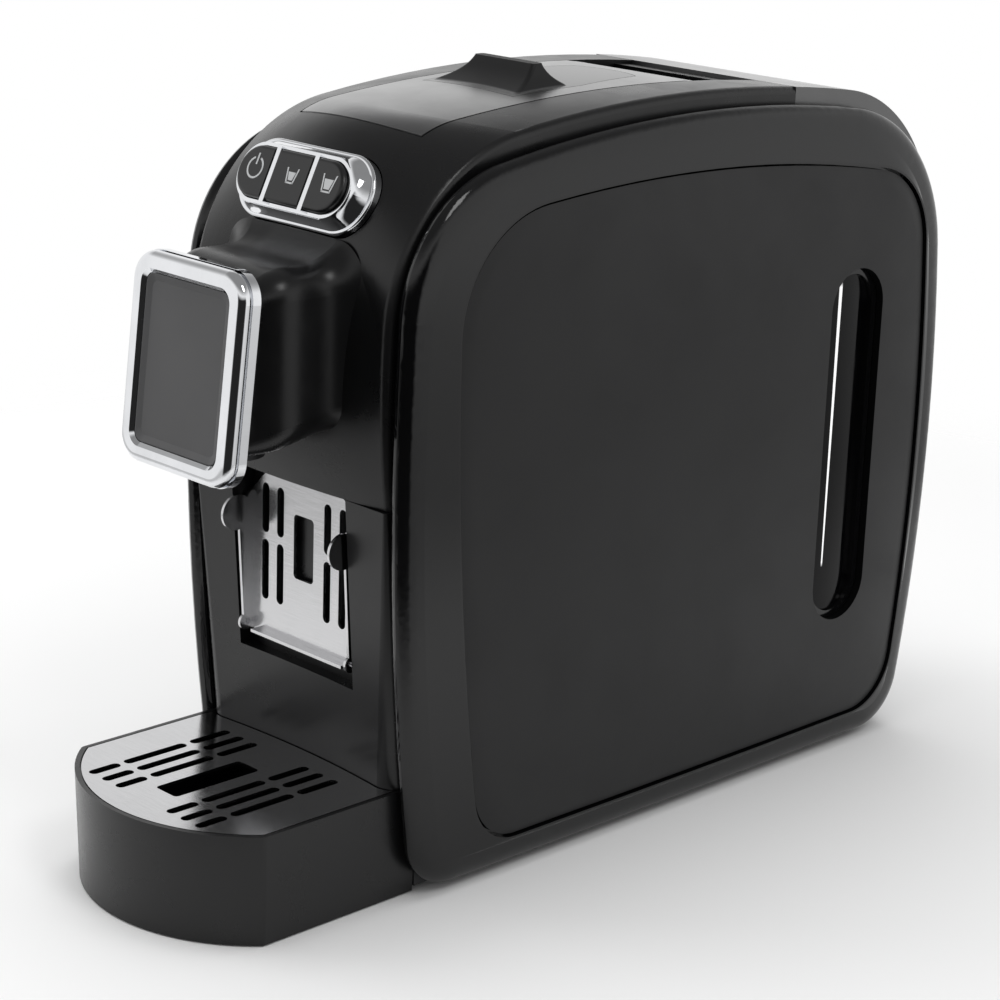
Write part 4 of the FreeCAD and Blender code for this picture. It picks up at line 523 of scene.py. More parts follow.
@dataclass(frozen=True)
class RaisedGrip(Finish):
    """Satin tile whose raised fin is moulded matt.

    The crown is the tile's top in metres: its height in the middle, its slope along the machine,
    and its bends along and across it.
    """

    tile: Colour
    fin: Colour
    crown: tuple[float, float, float, float] = (0.29277, 0.02205, -0.694, -0.771)
    rise: Span = (0.1 * MM, 0.6 * MM)
    rough: Span = (0.34, 0.52)
    coat: Span = (1.0, 0.0)
    specular: float = 0.32
    speckle: Span = (0.0, 0.15)
    grain: float = 1700.0
    grain_depth: float = 0.06
    grain_height: float = 0.1 * MM

    def lay(self, bench: Bench) -> None:
        """Lays satin on the crowned tile and matt above it, with one fine grain over both.

        Args:
            bench: The material's nodes and the shared effects.
        """
        pad = bench.pad
        grain = bench.effect(Effect.MOULDED_GRAIN, Scale=self.grain)
        x, y, z = pad.axes(bench.place)
        middle, slope, along, across = self.crown
        bow = pad.math("ADD", pad.math("MULTIPLY", pad.math("MULTIPLY", y, y), along),
                       pad.math("MULTIPLY", pad.math("MULTIPLY", x, x), across))
        above = pad.math("SUBTRACT", pad.math("SUBTRACT", z, bow), pad.math("MULTIPLY", y, slope))
        raised = pad.ease(above, *(middle + step for step in self.rise))
        speckle = pad.remap(grain["Tint"], UNIT, self.speckle)
        bench.feed("Base Color", pad.mix(pad.math("MAXIMUM", raised, speckle), self.tile, self.fin))
        bench.spread("Roughness", raised, self.rough)
        bench.spread("Coat Weight", raised, self.coat)
        bench.feed("Normal", pad.bump(grain["Height"], self.grain_depth, self.grain_height))
        bench.fix("Specular IOR Level", self.specular)
        bench.fix("Coat Roughness", self.rough[0])


@dataclass(frozen=True)
class Plated(Finish):
    """Bright plating over a polished moulding, with hairline wear."""

    tone: Colour
    rough: Span = (0.05, 0.11)
    hairline: float = 900.0
    stretch: float = 14.0
    film: float = 60.0
    dulled: float = 0.92

    def lay(self, bench: Bench) -> None:
        """Lays hairlines and handling in the shine, and a slight drift in the tone.

        Args:
            bench: The material's nodes and the shared effects.
        """
        pad = bench.pad
        lines = bench.effect(Effect.BRUSHED_LINES, Scale=self.hairline, Stretch=self.stretch)
        film = bench.effect(Effect.HANDLING_FILM, Scale=self.film)
        bench.feed("Base Color", pad.mix(film["Film"], self.tone, toned(self.tone, self.dulled)))
        bench.spread("Roughness", pad.math("MULTIPLY", lines["Lines"], film["Film"]), self.rough)
        bench.fix("Metallic", 1.0)


@dataclass(frozen=True)
class BrushedMetal(Finish):
    """Rolled or brushed sheet and bar, with its lines across the machine."""

    tone: Colour
    rough: Span = (0.16, 0.30)
    scale: float = 2600.0
    stretch: float = 40.0
    depth: float = 0.12
    height: float = 0.05 * MM
    film: float = 40.0
    dulled: float = 0.84
    line_share: float = 0.6
    film_share: float = 0.4

    def lay(self, bench: Bench) -> None:
        """Lays lines in the tone, the shine and the normal.

        Args:
            bench: The material's nodes and the shared effects.
        """
        pad = bench.pad
        lines = bench.effect(Effect.BRUSHED_LINES, Scale=self.scale, Stretch=self.stretch)
        film = bench.effect(Effect.HANDLING_FILM, Scale=self.film)
        bench.feed("Base Color", pad.mix(lines["Lines"], toned(self.tone, self.dulled), self.tone))
        shine = pad.math("ADD", pad.math("MULTIPLY", lines["Lines"], self.line_share),
                         pad.math("MULTIPLY", film["Film"], self.film_share))
        bench.spread("Roughness", shine, self.rough)
        bench.feed("Normal", pad.bump(lines["Lines"], self.depth, self.height))
        bench.fix("Metallic", 1.0)


@dataclass(frozen=True)
class CastMetal(Finish):
    """Die-cast metal with a sandy skin."""

    tone: Colour
    rough: Span = (0.38, 0.55)
    skin: float = 900.0
    depth: float = 0.35
    height: float = 0.2 * MM
    dulled: float = 0.8

    def lay(self, bench: Bench) -> None:
        """Lays flow marks in the tone and sand in the normal.

        Args:
            bench: The material's nodes and the shared effects.
        """
        skin = bench.effect(Effect.CAST_SKIN, Scale=self.skin)
        bench.feed("Base Color", bench.pad.mix(skin["Tint"], toned(self.tone, self.dulled), self.tone))
        bench.spread("Roughness", skin["Tint"], self.rough)
        bench.feed("Normal", bench.pad.bump(skin["Height"], self.depth, self.height))
        bench.fix("Metallic", 1.0)


@dataclass(frozen=True)
class ClearPlastic(Finish):
    """See-through moulding, clear or smoked."""

    tone: Colour
    clear: float
    rough: Span = (0.03, 0.12)
    film: float = 30.0
    dulled: float = 0.9
    refraction: float = 1.46

    def lay(self, bench: Bench) -> None:
        """Lays handling in the shine and flow of the melt in the tone.

        Args:
            bench: The material's nodes and the shared effects.
        """
        film = bench.effect(Effect.HANDLING_FILM, Scale=self.film)
        bench.feed("Base Color", bench.pad.mix(film["Film"], self.tone, toned(self.tone, self.dulled)))
        bench.spread("Roughness", film["Film"], self.rough)
        bench.fix("Transmission Weight", self.clear)
        bench.fix("IOR", self.refraction)


@dataclass(frozen=True)
class SightWindow(Finish):
    """Smoked level window with a painted highlight: one bright upright line near its long front edge, painted
    into the colour and made to glow.
    """

    tone: Colour
    # line and glow are the colour and strength of the painted highlight, a stripe that glows though the window
    # is no lamp.
    line: Colour
    line_y: float = 129.0 * MM
    line_half: float = 0.8 * MM
    line_foot: float = 0.35
    line_edge: float = 0.2 * MM
    end_fade: float = 2.0 * MM
    low_z: float = 86.0 * MM
    high_z: float = 205.0 * MM
    glow: float = 0.6
    film: float = 50.0
    rough: Span = (0.05, 0.16)
    specular: float = 0.15

    def lay(self, bench: Bench) -> None:
        """Lays a narrow upright painted highlight that glows, and handling in the shine.

        Args:
            bench: The material's nodes and the shared effects.
        """
        pad = bench.pad
        _, y, z = pad.axes(bench.place)
        taper = pad.remap(z, (self.low_z, self.high_z), (self.line_half * self.line_foot, self.line_half))
        off = pad.math("ABSOLUTE", pad.math("SUBTRACT", y, self.line_y), 0.0)
        side = pad.remap(pad.math("SUBTRACT", off, taper), (0.0, self.line_edge), (1.0, 0.0))
        foot = pad.remap(z, (self.low_z - self.end_fade, self.low_z), UNIT)
        head = pad.remap(z, (self.high_z, self.high_z + self.end_fade), (1.0, 0.0))
        painted_glow_band = pad.math("MULTIPLY", pad.math("MULTIPLY", side, foot), head)
        film = bench.effect(Effect.HANDLING_FILM, Scale=self.film)
        # Painted highlight: the stripe is painted into the base colour and made to glow.
        bench.feed("Base Color", pad.mix(painted_glow_band, self.tone, self.line))
        bench.feed("Emission Color", pad.mix(painted_glow_band, BLACK, self.line))
        bench.spread("Roughness", film["Film"], self.rough)
        bench.fix("Emission Strength", self.glow)
        bench.fix("Specular IOR Level", self.specular)


@dataclass(frozen=True)
class SoftMoulding(Finish):
    """Rubber or silicone, dull and slightly dusty."""

    tone: Colour
    rough: Span = (0.6, 0.8)
    sheen: float = 0.0
    skin: float = 700.0
    depth: float = 0.2
    height: float = 0.1 * MM
    film: float = 70.0
    dust: Span = (1.2, 0.01)

    def lay(self, bench: Bench) -> None:
        """Lays dust in the tone and a matt skin in the normal.

        Args:
            bench: The material's nodes and the shared effects.
        """
        pad = bench.pad
        skin = bench.effect(Effect.CAST_SKIN, Scale=self.skin)
        film = bench.effect(Effect.HANDLING_FILM, Scale=self.film)
        bench.feed("Base Color", pad.mix(film["Film"], self.tone, toned(self.tone, *self.dust)))
        bench.spread("Roughness", skin["Tint"], self.rough)
        bench.feed("Normal", pad.bump(skin["Height"], self.depth, self.height))
        bench.fix("Sheen Weight", self.sheen)


@dataclass(frozen=True)
class CircuitBoard(Finish):
    """Board laminate with lacquered copper tracks."""

    tone: Colour
    track: Colour
    pitch: float = 260.0
    jitter: float = 0.55
    track_band: Span = (0.52, 0.60)
    depth: float = 0.3
    height: float = 0.08 * MM
    film: float = 50.0
    rough: Span = (0.25, 0.45)

    def lay(self, bench: Bench) -> None:
        """Lays tracks as the walls of square cells in the tone and the normal.

        Args:
            bench: The material's nodes and the shared effects.
        """
        pad = bench.pad
        cells = pad.add("ShaderNodeTexVoronoi", {"distance": "CHEBYCHEV", "feature": "F2"},
                        {"Scale": self.pitch, "Randomness": self.jitter})
        pad.link(bench.place, cells.inputs["Vector"])
        tracks = pad.remap(cells.outputs["Distance"], self.track_band, UNIT)
        film = bench.effect(Effect.HANDLING_FILM, Scale=self.film)
        bench.feed("Base Color", pad.mix(tracks, self.tone, self.track))
        bench.spread("Roughness", film["Film"], self.rough)
        bench.feed("Normal", pad.bump(tracks, self.depth, self.height))


FINISHES: dict[Slot, Finish] = {
    Slot.SATIN_BLACK: MouldedPlastic(
        "satin_black_plastic", (0.0045, 0.0045, 0.0048), (0.26, 0.36),
        specular=0.38, grain=1700.0, grain_depth=0.06),
    Slot.LID_SATIN: MouldedPlastic(
        "satin_lid_plastic", (0.012, 0.012, 0.0125), (0.28, 0.40),
        specular=0.85, grain=1700.0, grain_depth=0.06, coat=0.9),
    Slot.FIN_BLACK: RaisedGrip("satin_and_matt_grip", (0.018, 0.018, 0.0186), (0.004, 0.004, 0.0043)),
    Slot.GLOSS_BLACK: MouldedPlastic(
        "polished_black_plastic", (0.003, 0.003, 0.0033), (0.07, 0.15),
        specular=0.42, grain=400.0, grain_depth=0.01),
    Slot.SIDE_BLACK: MouldedPlastic(
        "matt_side_plastic", (0.006, 0.006, 0.0064), (0.40, 0.50),
        specular=0.34, grain=1700.0, grain_depth=0.10),
    Slot.SMOKED_WINDOW: SightWindow("smoked_window_painted_glow", (0.0015, 0.0015, 0.0018), (0.95, 0.95, 0.95)),
    Slot.INNER_BLACK: MouldedPlastic("plain_black_plastic", (0.015, 0.015, 0.016), (0.45, 0.6)),
    Slot.CHROME: Plated("bright_plating", (0.80, 0.81, 0.83)),
    Slot.PLATE_GREY: MouldedPlastic(
        "dark_grey_lacquer", (0.066, 0.066, 0.068), (0.36, 0.46), grain=2200.0, grain_depth=0.05),
    Slot.KEY_BLACK: MouldedPlastic(
        "key_plastic", (0.005, 0.005, 0.0054), (0.30, 0.40), grain=1900.0, grain_depth=0.05),
    Slot.STEEL: BrushedMetal("satin_stainless", (0.66, 0.66, 0.67), (0.12, 0.24)),
    Slot.SHEET_STEEL: BrushedMetal(
        "zinc_plated_sheet", (0.56, 0.57, 0.59), (0.28, 0.44), scale=700.0, stretch=3.0, depth=0.2),
    Slot.PIN_STEEL: BrushedMetal(
        "ground_steel", (0.60, 0.60, 0.62), (0.18, 0.32), scale=1800.0, stretch=10.0, depth=0.15),
    Slot.RUBBER: SoftMoulding("matt_rubber", (0.022, 0.022, 0.022)),
    Slot.SILICONE: SoftMoulding("hose_silicone", (0.60, 0.59, 0.55), (0.42, 0.6), sheen=0.15),
    Slot.TANK_CLEAR: ClearPlastic("tank_plastic", (0.50, 0.52, 0.54), clear=0.92),
    Slot.GREY_PLASTIC: MouldedPlastic(
        "glass_filled_nylon", (0.26, 0.265, 0.27), (0.45, 0.6), grain=900.0, grain_depth=0.2, drift=1.15),
    Slot.ALUMINIUM: CastMetal("die_cast_aluminium", (0.64, 0.64, 0.65)),
    Slot.COIL: MouldedPlastic("coil_yoke", (0.085, 0.085, 0.09), (0.35, 0.5), grain=900.0, grain_depth=0.2),
    Slot.BOARD_GREEN: CircuitBoard("board_laminate", (0.020, 0.085, 0.040), (0.035, 0.14, 0.06)),
}
# Near-black, barely shiny material that paints shade on the walls of the panel joints and level slots.
PAINTED_JOINT_SHADE = MouldedPlastic("painted_joint_shade", (0.002, 0.002, 0.0022), (0.70, 0.80), specular=0.05)
PRINT_GREY = MouldedPlastic(
    "pale_key_print", (0.55, 0.56, 0.57), (0.35, 0.5), grain=2500.0, grain_depth=0.03, drift=1.06)


class Paintbox:
    """Keeps one material for each finish and paints CAD nodes and new pieces with them."""

    def __init__(self, frame: Frame) -> None:
        """Builds the shared effects.

        Args:
            frame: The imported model.
        """
        self.frame = frame
        self.effects = EffectLibrary()
        self.materials: dict[str, bpy.types.Material] = {}

    def material(self, finish: Finish) -> bpy.types.Material:
        """Gives a finish's material, built on first use.

        Args:
            finish: The finish.

        Returns:
            Its material.
        """
        if finish.name not in self.materials:
            self.materials[finish.name] = finish.material(self.effects)
        return self.materials[finish.name]

    def dress(self, node: str, slot: Slot) -> None:
        """Paints a CAD node.

        Args:
            node: Name of the node.
            slot: The slot whose finish it takes.
        """
        material = self.material(FINISHES[slot])
        for place in self.frame["nodes"][node].material_slots:
            place.material = material
        log.info("dressed %s in %s", node, material.name)

    def add(self, name: str, form: bmesh.types.BMesh, finish: Finish, slot: Slot,
            body: str) -> bpy.types.Object:
        """Turns a bmesh into a painted piece that rides on a body.

        Args:
            name: Name of the piece.
            form: Its shape in metres, in the machine's frame. It is freed.
            finish: What it is made of.
            slot: The record's slot that it belongs to; not used.
            body: The body that it rides on.

        Returns:
            The new object.
        """
        mesh = bpy.data.meshes.new(name)
        form.to_mesh(mesh)
        form.free()
        mesh.materials.append(self.material(finish))
        piece = bpy.data.objects.new(name, mesh)
        bpy.context.scene.collection.objects.link(piece)
        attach(piece, body)
        log.info("made %s on %s", name, body)
        return piece


@dataclass
class SubAssembly(abc.ABC):
    """One group of pieces that comes off the machine together."""

    slots: dict[str, Slot] = field(default_factory=dict)

    def dress(self, paint: Paintbox) -> None:
        """Paints the group's CAD nodes."""
        for node, slot in self.slots.items():
            paint.dress(node, slot)

    def build(self, paint: Paintbox) -> None:
        """Makes the group's own new pieces, if it has any."""


@dataclass
class Housing(SubAssembly):
    """Shells, side frames, panels, base and feet. Lengths are in millimetres, angles in degrees."""

    slots: dict[str, Slot] = field(default_factory=lambda: {
        "upper_shell": Slot.SATIN_BLACK,
        "right_side_frame": Slot.GLOSS_BLACK, "left_side_frame": Slot.GLOSS_BLACK,
        "right_side_panel": Slot.SIDE_BLACK, "left_side_panel": Slot.SIDE_BLACK,
        "right_level_window": Slot.SMOKED_WINDOW, "left_level_window": Slot.SMOKED_WINDOW,
        "base_pan": Slot.INNER_BLACK, "base_screws": Slot.PIN_STEEL,
        "feet": Slot.RUBBER, "inlet_gland": Slot.RUBBER,
    })
    panel_gap: float = 0.7
    weld: float = 0.002
    crisp: float = 12.0
    painted_shade_facing: float = 0.3

    def _panel(self, paint: Paintbox, side: str) -> None:
        """Makes a side panel again, drawn in all round so that a joint opens at its frame. The walls of the
        joint and of the level slot take painted shade, so the joint shows dark.

        Args:
            paint: The paintbox that holds the frame.
            side: The panel's side of the machine.
        """
        node = f"{side}_side_panel"
        form = bmesh.new()
        form.from_mesh(paint.frame["nodes"][node].data)
        bmesh.ops.remove_doubles(form, verts=form.verts, dist=self.weld * MM)
        (_, y0, z0), (_, y1, z1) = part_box(node)
        (_, slot_y0, slot_z0), (_, slot_y1, slot_z1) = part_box(f"{side}_level_window")
        rim = [v for v in form.verts
               if not (slot_y0 < v.co.y < slot_y1 and slot_z0 < v.co.z < slot_z1)]
        middle = Vector((0.0, (y0 + y1) / 2, (z0 + z1) / 2))
        inward = 2.0 * self.panel_gap * MM
        bmesh.ops.scale(form, vec=(1.0, 1.0 - inward / (y1 - y0), 1.0 - inward / (z1 - z0)),
                        space=Matrix.Translation(-middle), verts=rim)
        # Faces that don't face sideways, the walls of the joint and of the slot, take the painted shade.
        for face in form.faces:
            face.smooth = True
            face.material_index = int(abs(face.normal.x) < self.painted_shade_facing)
        for edge in form.edges:
            edge.smooth = edge.calc_face_angle(math.pi) < math.radians(self.crisp)
        piece = paint.add(f"{side}_panel_cover", form, FINISHES[Slot.SIDE_BLACK], Slot.SIDE_BLACK, "housing")
        piece.data.materials.append(paint.material(PAINTED_JOINT_SHADE))
        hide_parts(node)

    def build(self, paint: Paintbox) -> None:
        """Makes both side panels with their joints in painted shade."""
        for side in ("right", "left"):
            self._panel(paint, side)


@dataclass
class Drawer(SubAssembly):
    """Drip tray and capsule drawer with the grid and the folding cup shelf."""

    slots: dict[str, Slot] = field(default_factory=lambda: {
        "drip_tray": Slot.SATIN_BLACK, "drawer_front": Slot.SATIN_BLACK, "capsule_bin": Slot.INNER_BLACK,
        "drip_grid": Slot.STEEL, "cup_shelf": Slot.STEEL, "shelf_pins": Slot.PIN_STEEL,
    })


@dataclass
class Head(SubAssembly):
    """Brewing head: plated bezel, grey plate and spout."""

    slots: dict[str, Slot] = field(default_factory=lambda: {
        "head_bezel": Slot.CHROME, "head_plate": Slot.PLATE_GREY,
        "spout_nozzle": Slot.INNER_BLACK, "spout_duct": Slot.SILICONE,
    })


@dataclass(frozen=True)
class Tumbler:
    """Sizes of a tumbler sign on its key top, in millimetres. Its half-width is at the brim."""

    middle: float
    foot: float
    brim: float
    half: float


@dataclass
class KeyTurret(SubAssembly):
    """Plated turret with three keys and their printed signs. Lengths are in millimetres."""

    slots: dict[str, Slot] = field(default_factory=lambda: {
        "turret_bezel": Slot.CHROME, "power_button": Slot.KEY_BLACK, "small_cup_button": Slot.KEY_BLACK,
        "large_cup_button": Slot.KEY_BLACK, "button_board": Slot.BOARD_GREEN,
    })
    centre: Point = (0.0, -107.5, 261.7)
    tilt: float = 64.3
    key_top: float = 9.6
    print_rise: float = 0.10
    print_sink: float = 0.25
    stroke: float = 0.75
    ring_radius: float = 3.9
    ring_place: Span = (-19.2, 0.9)
    ring_gap: float = 46.0
    ring_steps: int = 40
    bar_length: float = 4.4
    bar_inside: float = 0.62
    small_cup: Tumbler = Tumbler(middle=1.2, foot=-2.2, brim=3.7, half=3.3)
    large_cup: Tumbler = Tumbler(middle=21.2, foot=-2.4, brim=4.4, half=3.8)
    cup_stroke: float = 0.85
    cup_foot: float = 0.62
    drink_level: float = 0.74
    drink_lift: float = 2.0
    drink_inset: Span = (1.5, 1.6)

    def _seat(self) -> Matrix:
        """Gives the matrix from key-top millimetres to the machine's frame in metres."""
        on_key = Matrix.Rotation(math.radians(self.tilt), 4, "X") @ Matrix.Translation((0.0, 0.0, self.key_top))
        return Matrix.Scale(MM, 4) @ Matrix.Translation(self.centre) @ on_key

    def _block(self, form: bmesh.types.BMesh, corners: list[Span]) -> None:
        """Adds a flat printed block.

        Args:
            form: The bmesh that takes it.
            corners: Its outline on the key top, in millimetres.
        """
        face = form.faces.new([form.verts.new((x, y, -self.print_sink)) for x, y in corners])
        raised = bmesh.ops.extrude_face_region(form, geom=[face])
        lift = [v for v in raised["geom"] if isinstance(v, bmesh.types.BMVert)]
        bmesh.ops.translate(form, vec=(0.0, 0.0, self.print_sink + self.print_rise), verts=lift)

    def _power_sign(self) -> bmesh.types.BMesh:
        """Makes the broken ring and bar of the power key.

        Returns:
            The sign.
        """
        form = bmesh.new()
        half = self.stroke / 2
        inner, outer = self.ring_radius - half, self.ring_radius + half
        corners = ((inner, -self.print_sink), (outer, -self.print_sink),
                   (outer, self.print_rise), (inner, self.print_rise))
        section = form.faces.new([form.verts.new((x, 0.0, z)) for x, z in corners])
        start = Matrix.Rotation(math.radians(90.0 + self.ring_gap / 2), 3, "Z")
        bmesh.ops.rotate(form, cent=(0.0, 0.0, 0.0), matrix=start, verts=section.verts)
        bmesh.ops.spin(form, geom=[section, *section.edges, *section.verts],
                       cent=(0.0, 0.0, 0.0), axis=(0.0, 0.0, 1.0),
                       angle=math.radians(360.0 - self.ring_gap), steps=self.ring_steps)
        low = self.ring_radius - self.bar_length * self.bar_inside
        high = low + self.bar_length
        self._block(form, [(-half, low), (half, low), (half, high), (-half, high)])
        bmesh.ops.translate(form, vec=(*self.ring_place, 0.0), verts=form.verts)
        return form

    def _cup_sign(self, cup: Tumbler) -> bmesh.types.BMesh:
        """Makes a tumbler sign: two sides, a foot and the drink inside.

        Args:
            cup: The tumbler's sizes.

        Returns:
            The sign.
        """
        form = bmesh.new()
        middle, foot, brim, half = cup.middle, cup.foot, cup.brim, cup.half
        base = half * self.cup_foot
        line = self.stroke * self.cup_stroke
        for side in (-1.0, 1.0):
            corners = [(middle + side * base, foot), (middle + side * half, brim),
                       (middle + side * (half - line), brim), (middle + side * (base - line), foot)]
            self._block(form, corners if side > 0 else corners[::-1])
        low, high = foot + line * self.drink_lift, foot + (brim - foot) * self.drink_level
        wide_low = base - line * self.drink_inset[0]
        wide_high = base + (half - base) * self.drink_level - line * self.drink_inset[1]
        for bottom, top, below, over in ((foot, foot + line, base, base), (low, high, wide_low, wide_high)):
            self._block(form, [(middle - below, bottom), (middle + below, bottom),
                               (middle + over, top), (middle - over, top)])
        return form

    def build(self, paint: Paintbox) -> None:
        """Prints the three signs on their keys.

        Args:
            paint: The paintbox that paints them.
        """
        signs = {
            "power_key_print": (self._power_sign(), "power_key"),
            "small_cup_key_print": (self._cup_sign(self.small_cup), "small_cup_key"),
            "large_cup_key_print": (self._cup_sign(self.large_cup), "large_cup_key"),
        }
        for name, (form, body) in signs.items():
            bmesh.ops.transform(form, matrix=self._seat(), verts=form.verts)
            bmesh.ops.recalc_face_normals(form, faces=form.faces)
            paint.add(name, form, PRINT_GREY, Slot.GREY_PLASTIC, body)


@dataclass
class LeverUnit(SubAssembly):
    """Lever lid with its fin grip and pins."""

    slots: dict[str, Slot] = field(default_factory=lambda: {
        "lever_lid": Slot.LID_SATIN, "fin_grip": Slot.FIN_BLACK,
        "crank_pin": Slot.PIN_STEEL, "lever_pin": Slot.PIN_STEEL,
    })


@dataclass
class BrewUnit(SubAssembly):
    """Frame, guide rods and sliding piston that close on the capsule."""

    slots: dict[str, Slot] = field(default_factory=lambda: {
        "chassis": Slot.SHEET_STEEL, "brew_frame": Slot.GREY_PLASTIC, "rear_bridge": Slot.GREY_PLASTIC,
        "guide_rods": Slot.PIN_STEEL, "piston": Slot.GREY_PLASTIC, "piston_seal": Slot.SILICONE,
        "needles": Slot.PIN_STEEL, "push_arm": Slot.GREY_PLASTIC,
    })


@dataclass
class WaterTank(SubAssembly):
    """Lift-out tank with its hinged lid, valve and filter."""

    slots: dict[str, Slot] = field(default_factory=lambda: {
        "water_tank": Slot.TANK_CLEAR, "tank_lid": Slot.LID_SATIN, "tank_pin": Slot.PIN_STEEL,
        "tank_valve": Slot.INNER_BLACK, "tank_filter": Slot.INNER_BLACK, "tank_socket": Slot.INNER_BLACK,
    })


@dataclass
class Waterworks(SubAssembly):
    """Pump, heater, flow meter, hoses and control board."""

    slots: dict[str, Slot] = field(default_factory=lambda: {
        "pump": Slot.COIL, "pump_cradle": Slot.RUBBER, "thermoblock": Slot.ALUMINIUM,
        "thermostat": Slot.INNER_BLACK, "flow_meter": Slot.GREY_PLASTIC,
        "suction_hose": Slot.SILICONE, "feed_hose": Slot.SILICONE,
        "pressure_hose": Slot.SILICONE, "hot_hose": Slot.SILICONE, "control_board": Slot.BOARD_GREEN,
    })


@dataclass(frozen=True)
class SoftBox:
    """One rectangular lamp, with lengths in metres and its power in watts.

    It faces the point that it is aimed at, and gloss shows the lamp itself only if it is mirrored.
    """

    name: str
    place: Point
    aim: Point
    size: Span
    watts: float
    mirrored: bool = False

    def hang(self) -> None:
        """Hangs the lamp in the scene."""
        data = bpy.data.lights.new(self.name, "AREA")
        data.shape = "RECTANGLE"
        data.size, data.size_y = self.size
        data.energy = self.watts
        lamp = bpy.data.objects.new(self.name, data)
        lamp.location = self.place
        lamp.visible_glossy = self.mirrored
        facing = Vector(self.aim) - Vector(self.place)
        lamp.rotation_euler = facing.to_track_quat("-Z", "Y").to_euler()
        bpy.context.scene.collection.objects.link(lamp)


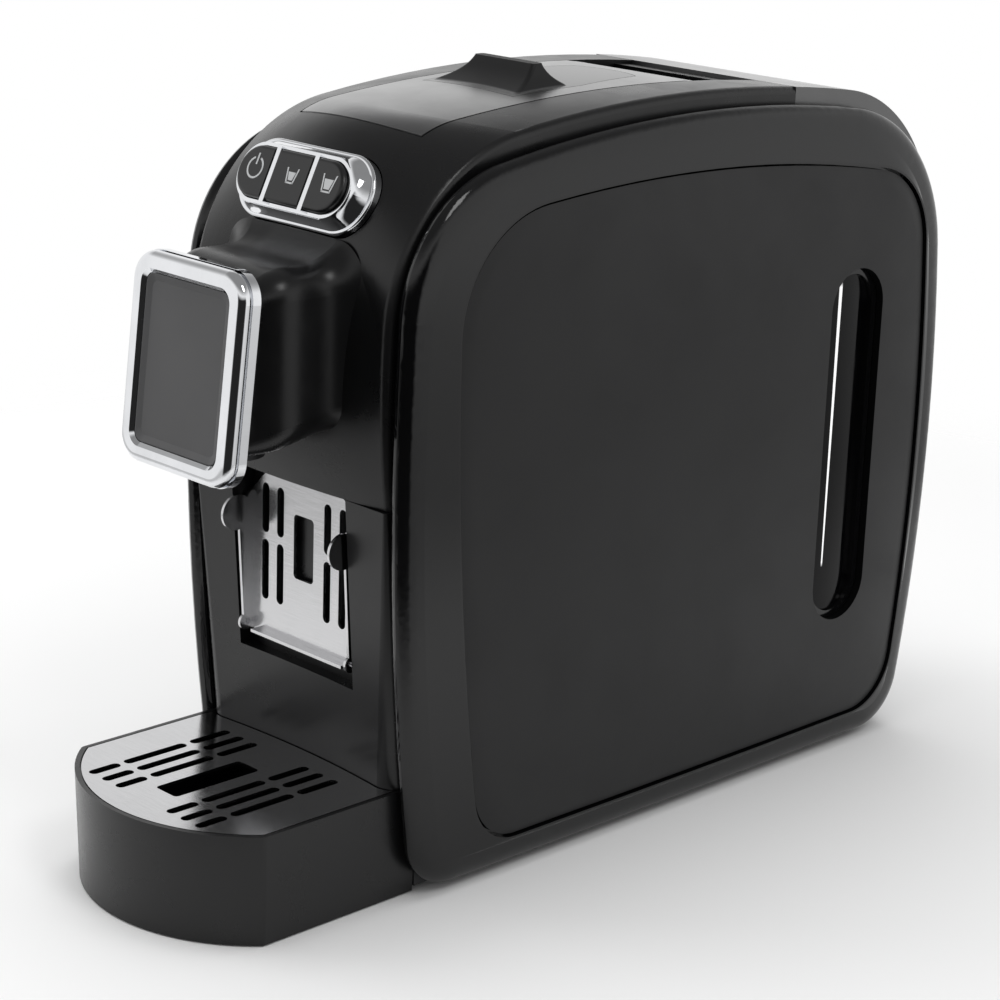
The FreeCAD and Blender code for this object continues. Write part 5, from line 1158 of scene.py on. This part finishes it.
@dataclass
class Studio:
    """Pale floor, soft light and the camera at the photograph's angle.

    The camera's place is in millimetres and its angles are in degrees. The floor is in metres. The
    ranges of the surroundings are parts of a unit direction: towards the camera, or up.
    """

    azimuth: float = 45.3258639
    elevation: float = 16.9125886
    roll: float = 1.98407402
    lens: float = 96.91
    sensor: float = 36.0
    clip: Span = (0.05, 20.0)
    distance: float = 1080.16562
    aside: float = -3.22675717
    above: float = -6.32578431
    target: Point = (0.0, 0.0, 130.0)
    floor_radius: float = 1.6
    floor_sides: int = 96
    floor_fade: Span = (0.36, 0.60)
    floor_back: float = 0.14
    floor_tone: Colour = (0.90, 0.90, 0.90)
    room_side: Span = (0.56, 0.74)
    room_rise: Span = (0.45, 0.15)
    room_tone: Colour = (0.02, 0.02, 0.02)
    wall_rise: Span = (-0.30, -0.12)
    wall_low: Colour = (0.60, 0.60, 0.60)
    ceiling_rise: Span = (0.35, 0.75)
    ceiling: Colour = (0.28, 0.28, 0.28)
    soft_rise: Span = (-0.16, 0.10)
    soft_low: Colour = (0.12, 0.12, 0.12)
    soft_high: Colour = (0.55, 0.55, 0.55)
    lamps: tuple[SoftBox, ...] = (
        SoftBox("overhead_box", (-0.25, 0.10, 1.60), (0.0, 0.0, 0.15), (1.3, 1.3), 14.0),
        SoftBox("left_box", (-1.30, -0.90, 0.90), (0.0, 0.0, 0.15), (0.8, 1.0), 6.0),
        SoftBox("edge_box", (0.85, -0.17, 1.28), (0.06, -0.08, 0.25), (0.35, 0.5), 3.0, mirrored=True),
    )

    def viewer(self) -> Vector:
        """Gives the level direction from the machine to the camera."""
        az = math.radians(self.azimuth)
        return Vector((math.sin(az), -math.cos(az), 0.0))

    def camera(self) -> None:
        """Sets the camera where the photograph was taken from."""
        az, el, roll = (math.radians(a) for a in (self.azimuth, self.elevation, self.roll))
        back = Vector((math.sin(az) * math.cos(el), -math.cos(az) * math.cos(el), math.sin(el)))
        right = Vector((math.cos(az), math.sin(az), 0.0))
        up = back.cross(right)
        turned = right * math.cos(roll) + up * math.sin(roll)
        upright = up * math.cos(roll) - right * math.sin(roll)
        place = Vector(self.target) + turned * self.aside + upright * self.above + back * self.distance
        lens = bpy.data.cameras.new("photo_camera")
        lens.lens = self.lens
        lens.sensor_width = self.sensor
        lens.clip_start, lens.clip_end = self.clip
        camera = bpy.data.objects.new("photo_camera", lens)
        axes = Matrix((turned, upright, back)).transposed().to_4x4()
        camera.matrix_world = Matrix.Translation(place * MM) @ axes
        bpy.context.scene.collection.objects.link(camera)
        bpy.context.scene.camera = camera

    def floor(self) -> None:
        """Lays a pale floor that fades out round the machine, sooner on the camera's side."""
        form = bmesh.new()
        bmesh.ops.create_circle(form, cap_ends=True, segments=self.floor_sides, radius=self.floor_radius)
        mesh = bpy.data.meshes.new("studio_floor")
        form.to_mesh(mesh)
        form.free()
        material = bpy.data.materials.new("pale_floor")
        material.use_nodes = True
        material.node_tree.nodes.clear()
        pad = NodePad(material.node_tree)
        place = pad.add("ShaderNodeTexCoord").outputs["Object"]
        shift = pad.vector("ADD", place, self.viewer() * self.floor_back)
        length = pad.vector("LENGTH", shift.outputs[0])
        paper = pad.add("ShaderNodeBsdfDiffuse", inputs={"Color": (*self.floor_tone, 1.0)})
        blend = pad.add("ShaderNodeMixShader")
        pad.link(pad.ease(length.outputs["Value"], *self.floor_fade), blend.inputs[0])
        pad.link(paper.outputs[0], blend.inputs[1])
        pad.link(pad.add("ShaderNodeBsdfTransparent").outputs[0], blend.inputs[2])
        pad.link(blend.outputs[0], pad.add("ShaderNodeOutputMaterial").inputs["Surface"])
        mesh.materials.append(material)
        floor = bpy.data.objects.new("studio_floor", mesh)
        bpy.context.scene.collection.objects.link(floor)

    def sky(self) -> None:
        """Surrounds the set with white, and gives gloss a pale room, dim above and behind the camera."""
        world = bpy.data.worlds.new("studio_world")
        world.use_nodes = True
        world.node_tree.nodes.clear()
        bpy.context.scene.world = world
        pad = NodePad(world.node_tree)
        ray = pad.add("ShaderNodeLightPath").outputs
        way = pad.add("ShaderNodeTexCoord").outputs["Generated"]
        toward = pad.vector("DOT_PRODUCT", way, self.viewer()).outputs["Value"]
        _, _, high = pad.axes(way)
        walls = pad.mix(pad.ease(high, *self.wall_rise), self.wall_low, WHITE)
        behind = pad.math("MULTIPLY", pad.ease(toward, *self.room_side), pad.ease(high, *self.room_rise))
        room = pad.mix(behind, walls, self.room_tone)
        room = pad.mix(pad.ease(high, *self.ceiling_rise), room, self.ceiling)
        soft = pad.mix(pad.remap(high, self.soft_rise, UNIT), self.soft_low, self.soft_high)
        shine = pad.mix(ray["Is Glossy Ray"], soft, room)
        direct = pad.math("MAXIMUM", ray["Is Camera Ray"], ray["Is Transmission Ray"])
        light = pad.add("ShaderNodeBackground")
        pad.link(pad.mix(direct, shine, WHITE), light.inputs["Color"])
        pad.link(light.outputs[0], pad.add("ShaderNodeOutputWorld").inputs["Surface"])

    def build(self) -> None:
        """Sets camera, floor, surroundings and lamps."""
        bpy.context.scene.view_settings.view_transform = "Standard"
        self.camera()
        self.floor()
        self.sky()
        for lamp in self.lamps:
            lamp.hang()
        log.info("studio set")


def main() -> None:
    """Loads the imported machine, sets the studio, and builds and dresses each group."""
    logging.basicConfig(level=logging.INFO, format="%(name)s: %(message)s")
    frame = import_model()
    Studio().build()
    paint = Paintbox(frame)
    for group in (Housing(), Drawer(), Head(), KeyTurret(), LeverUnit(), BrewUnit(), WaterTank(), Waterworks()):
        group.dress(paint)
        group.build(paint)
    log.info("boxes kept")


if __name__ == "__main__":
    main()
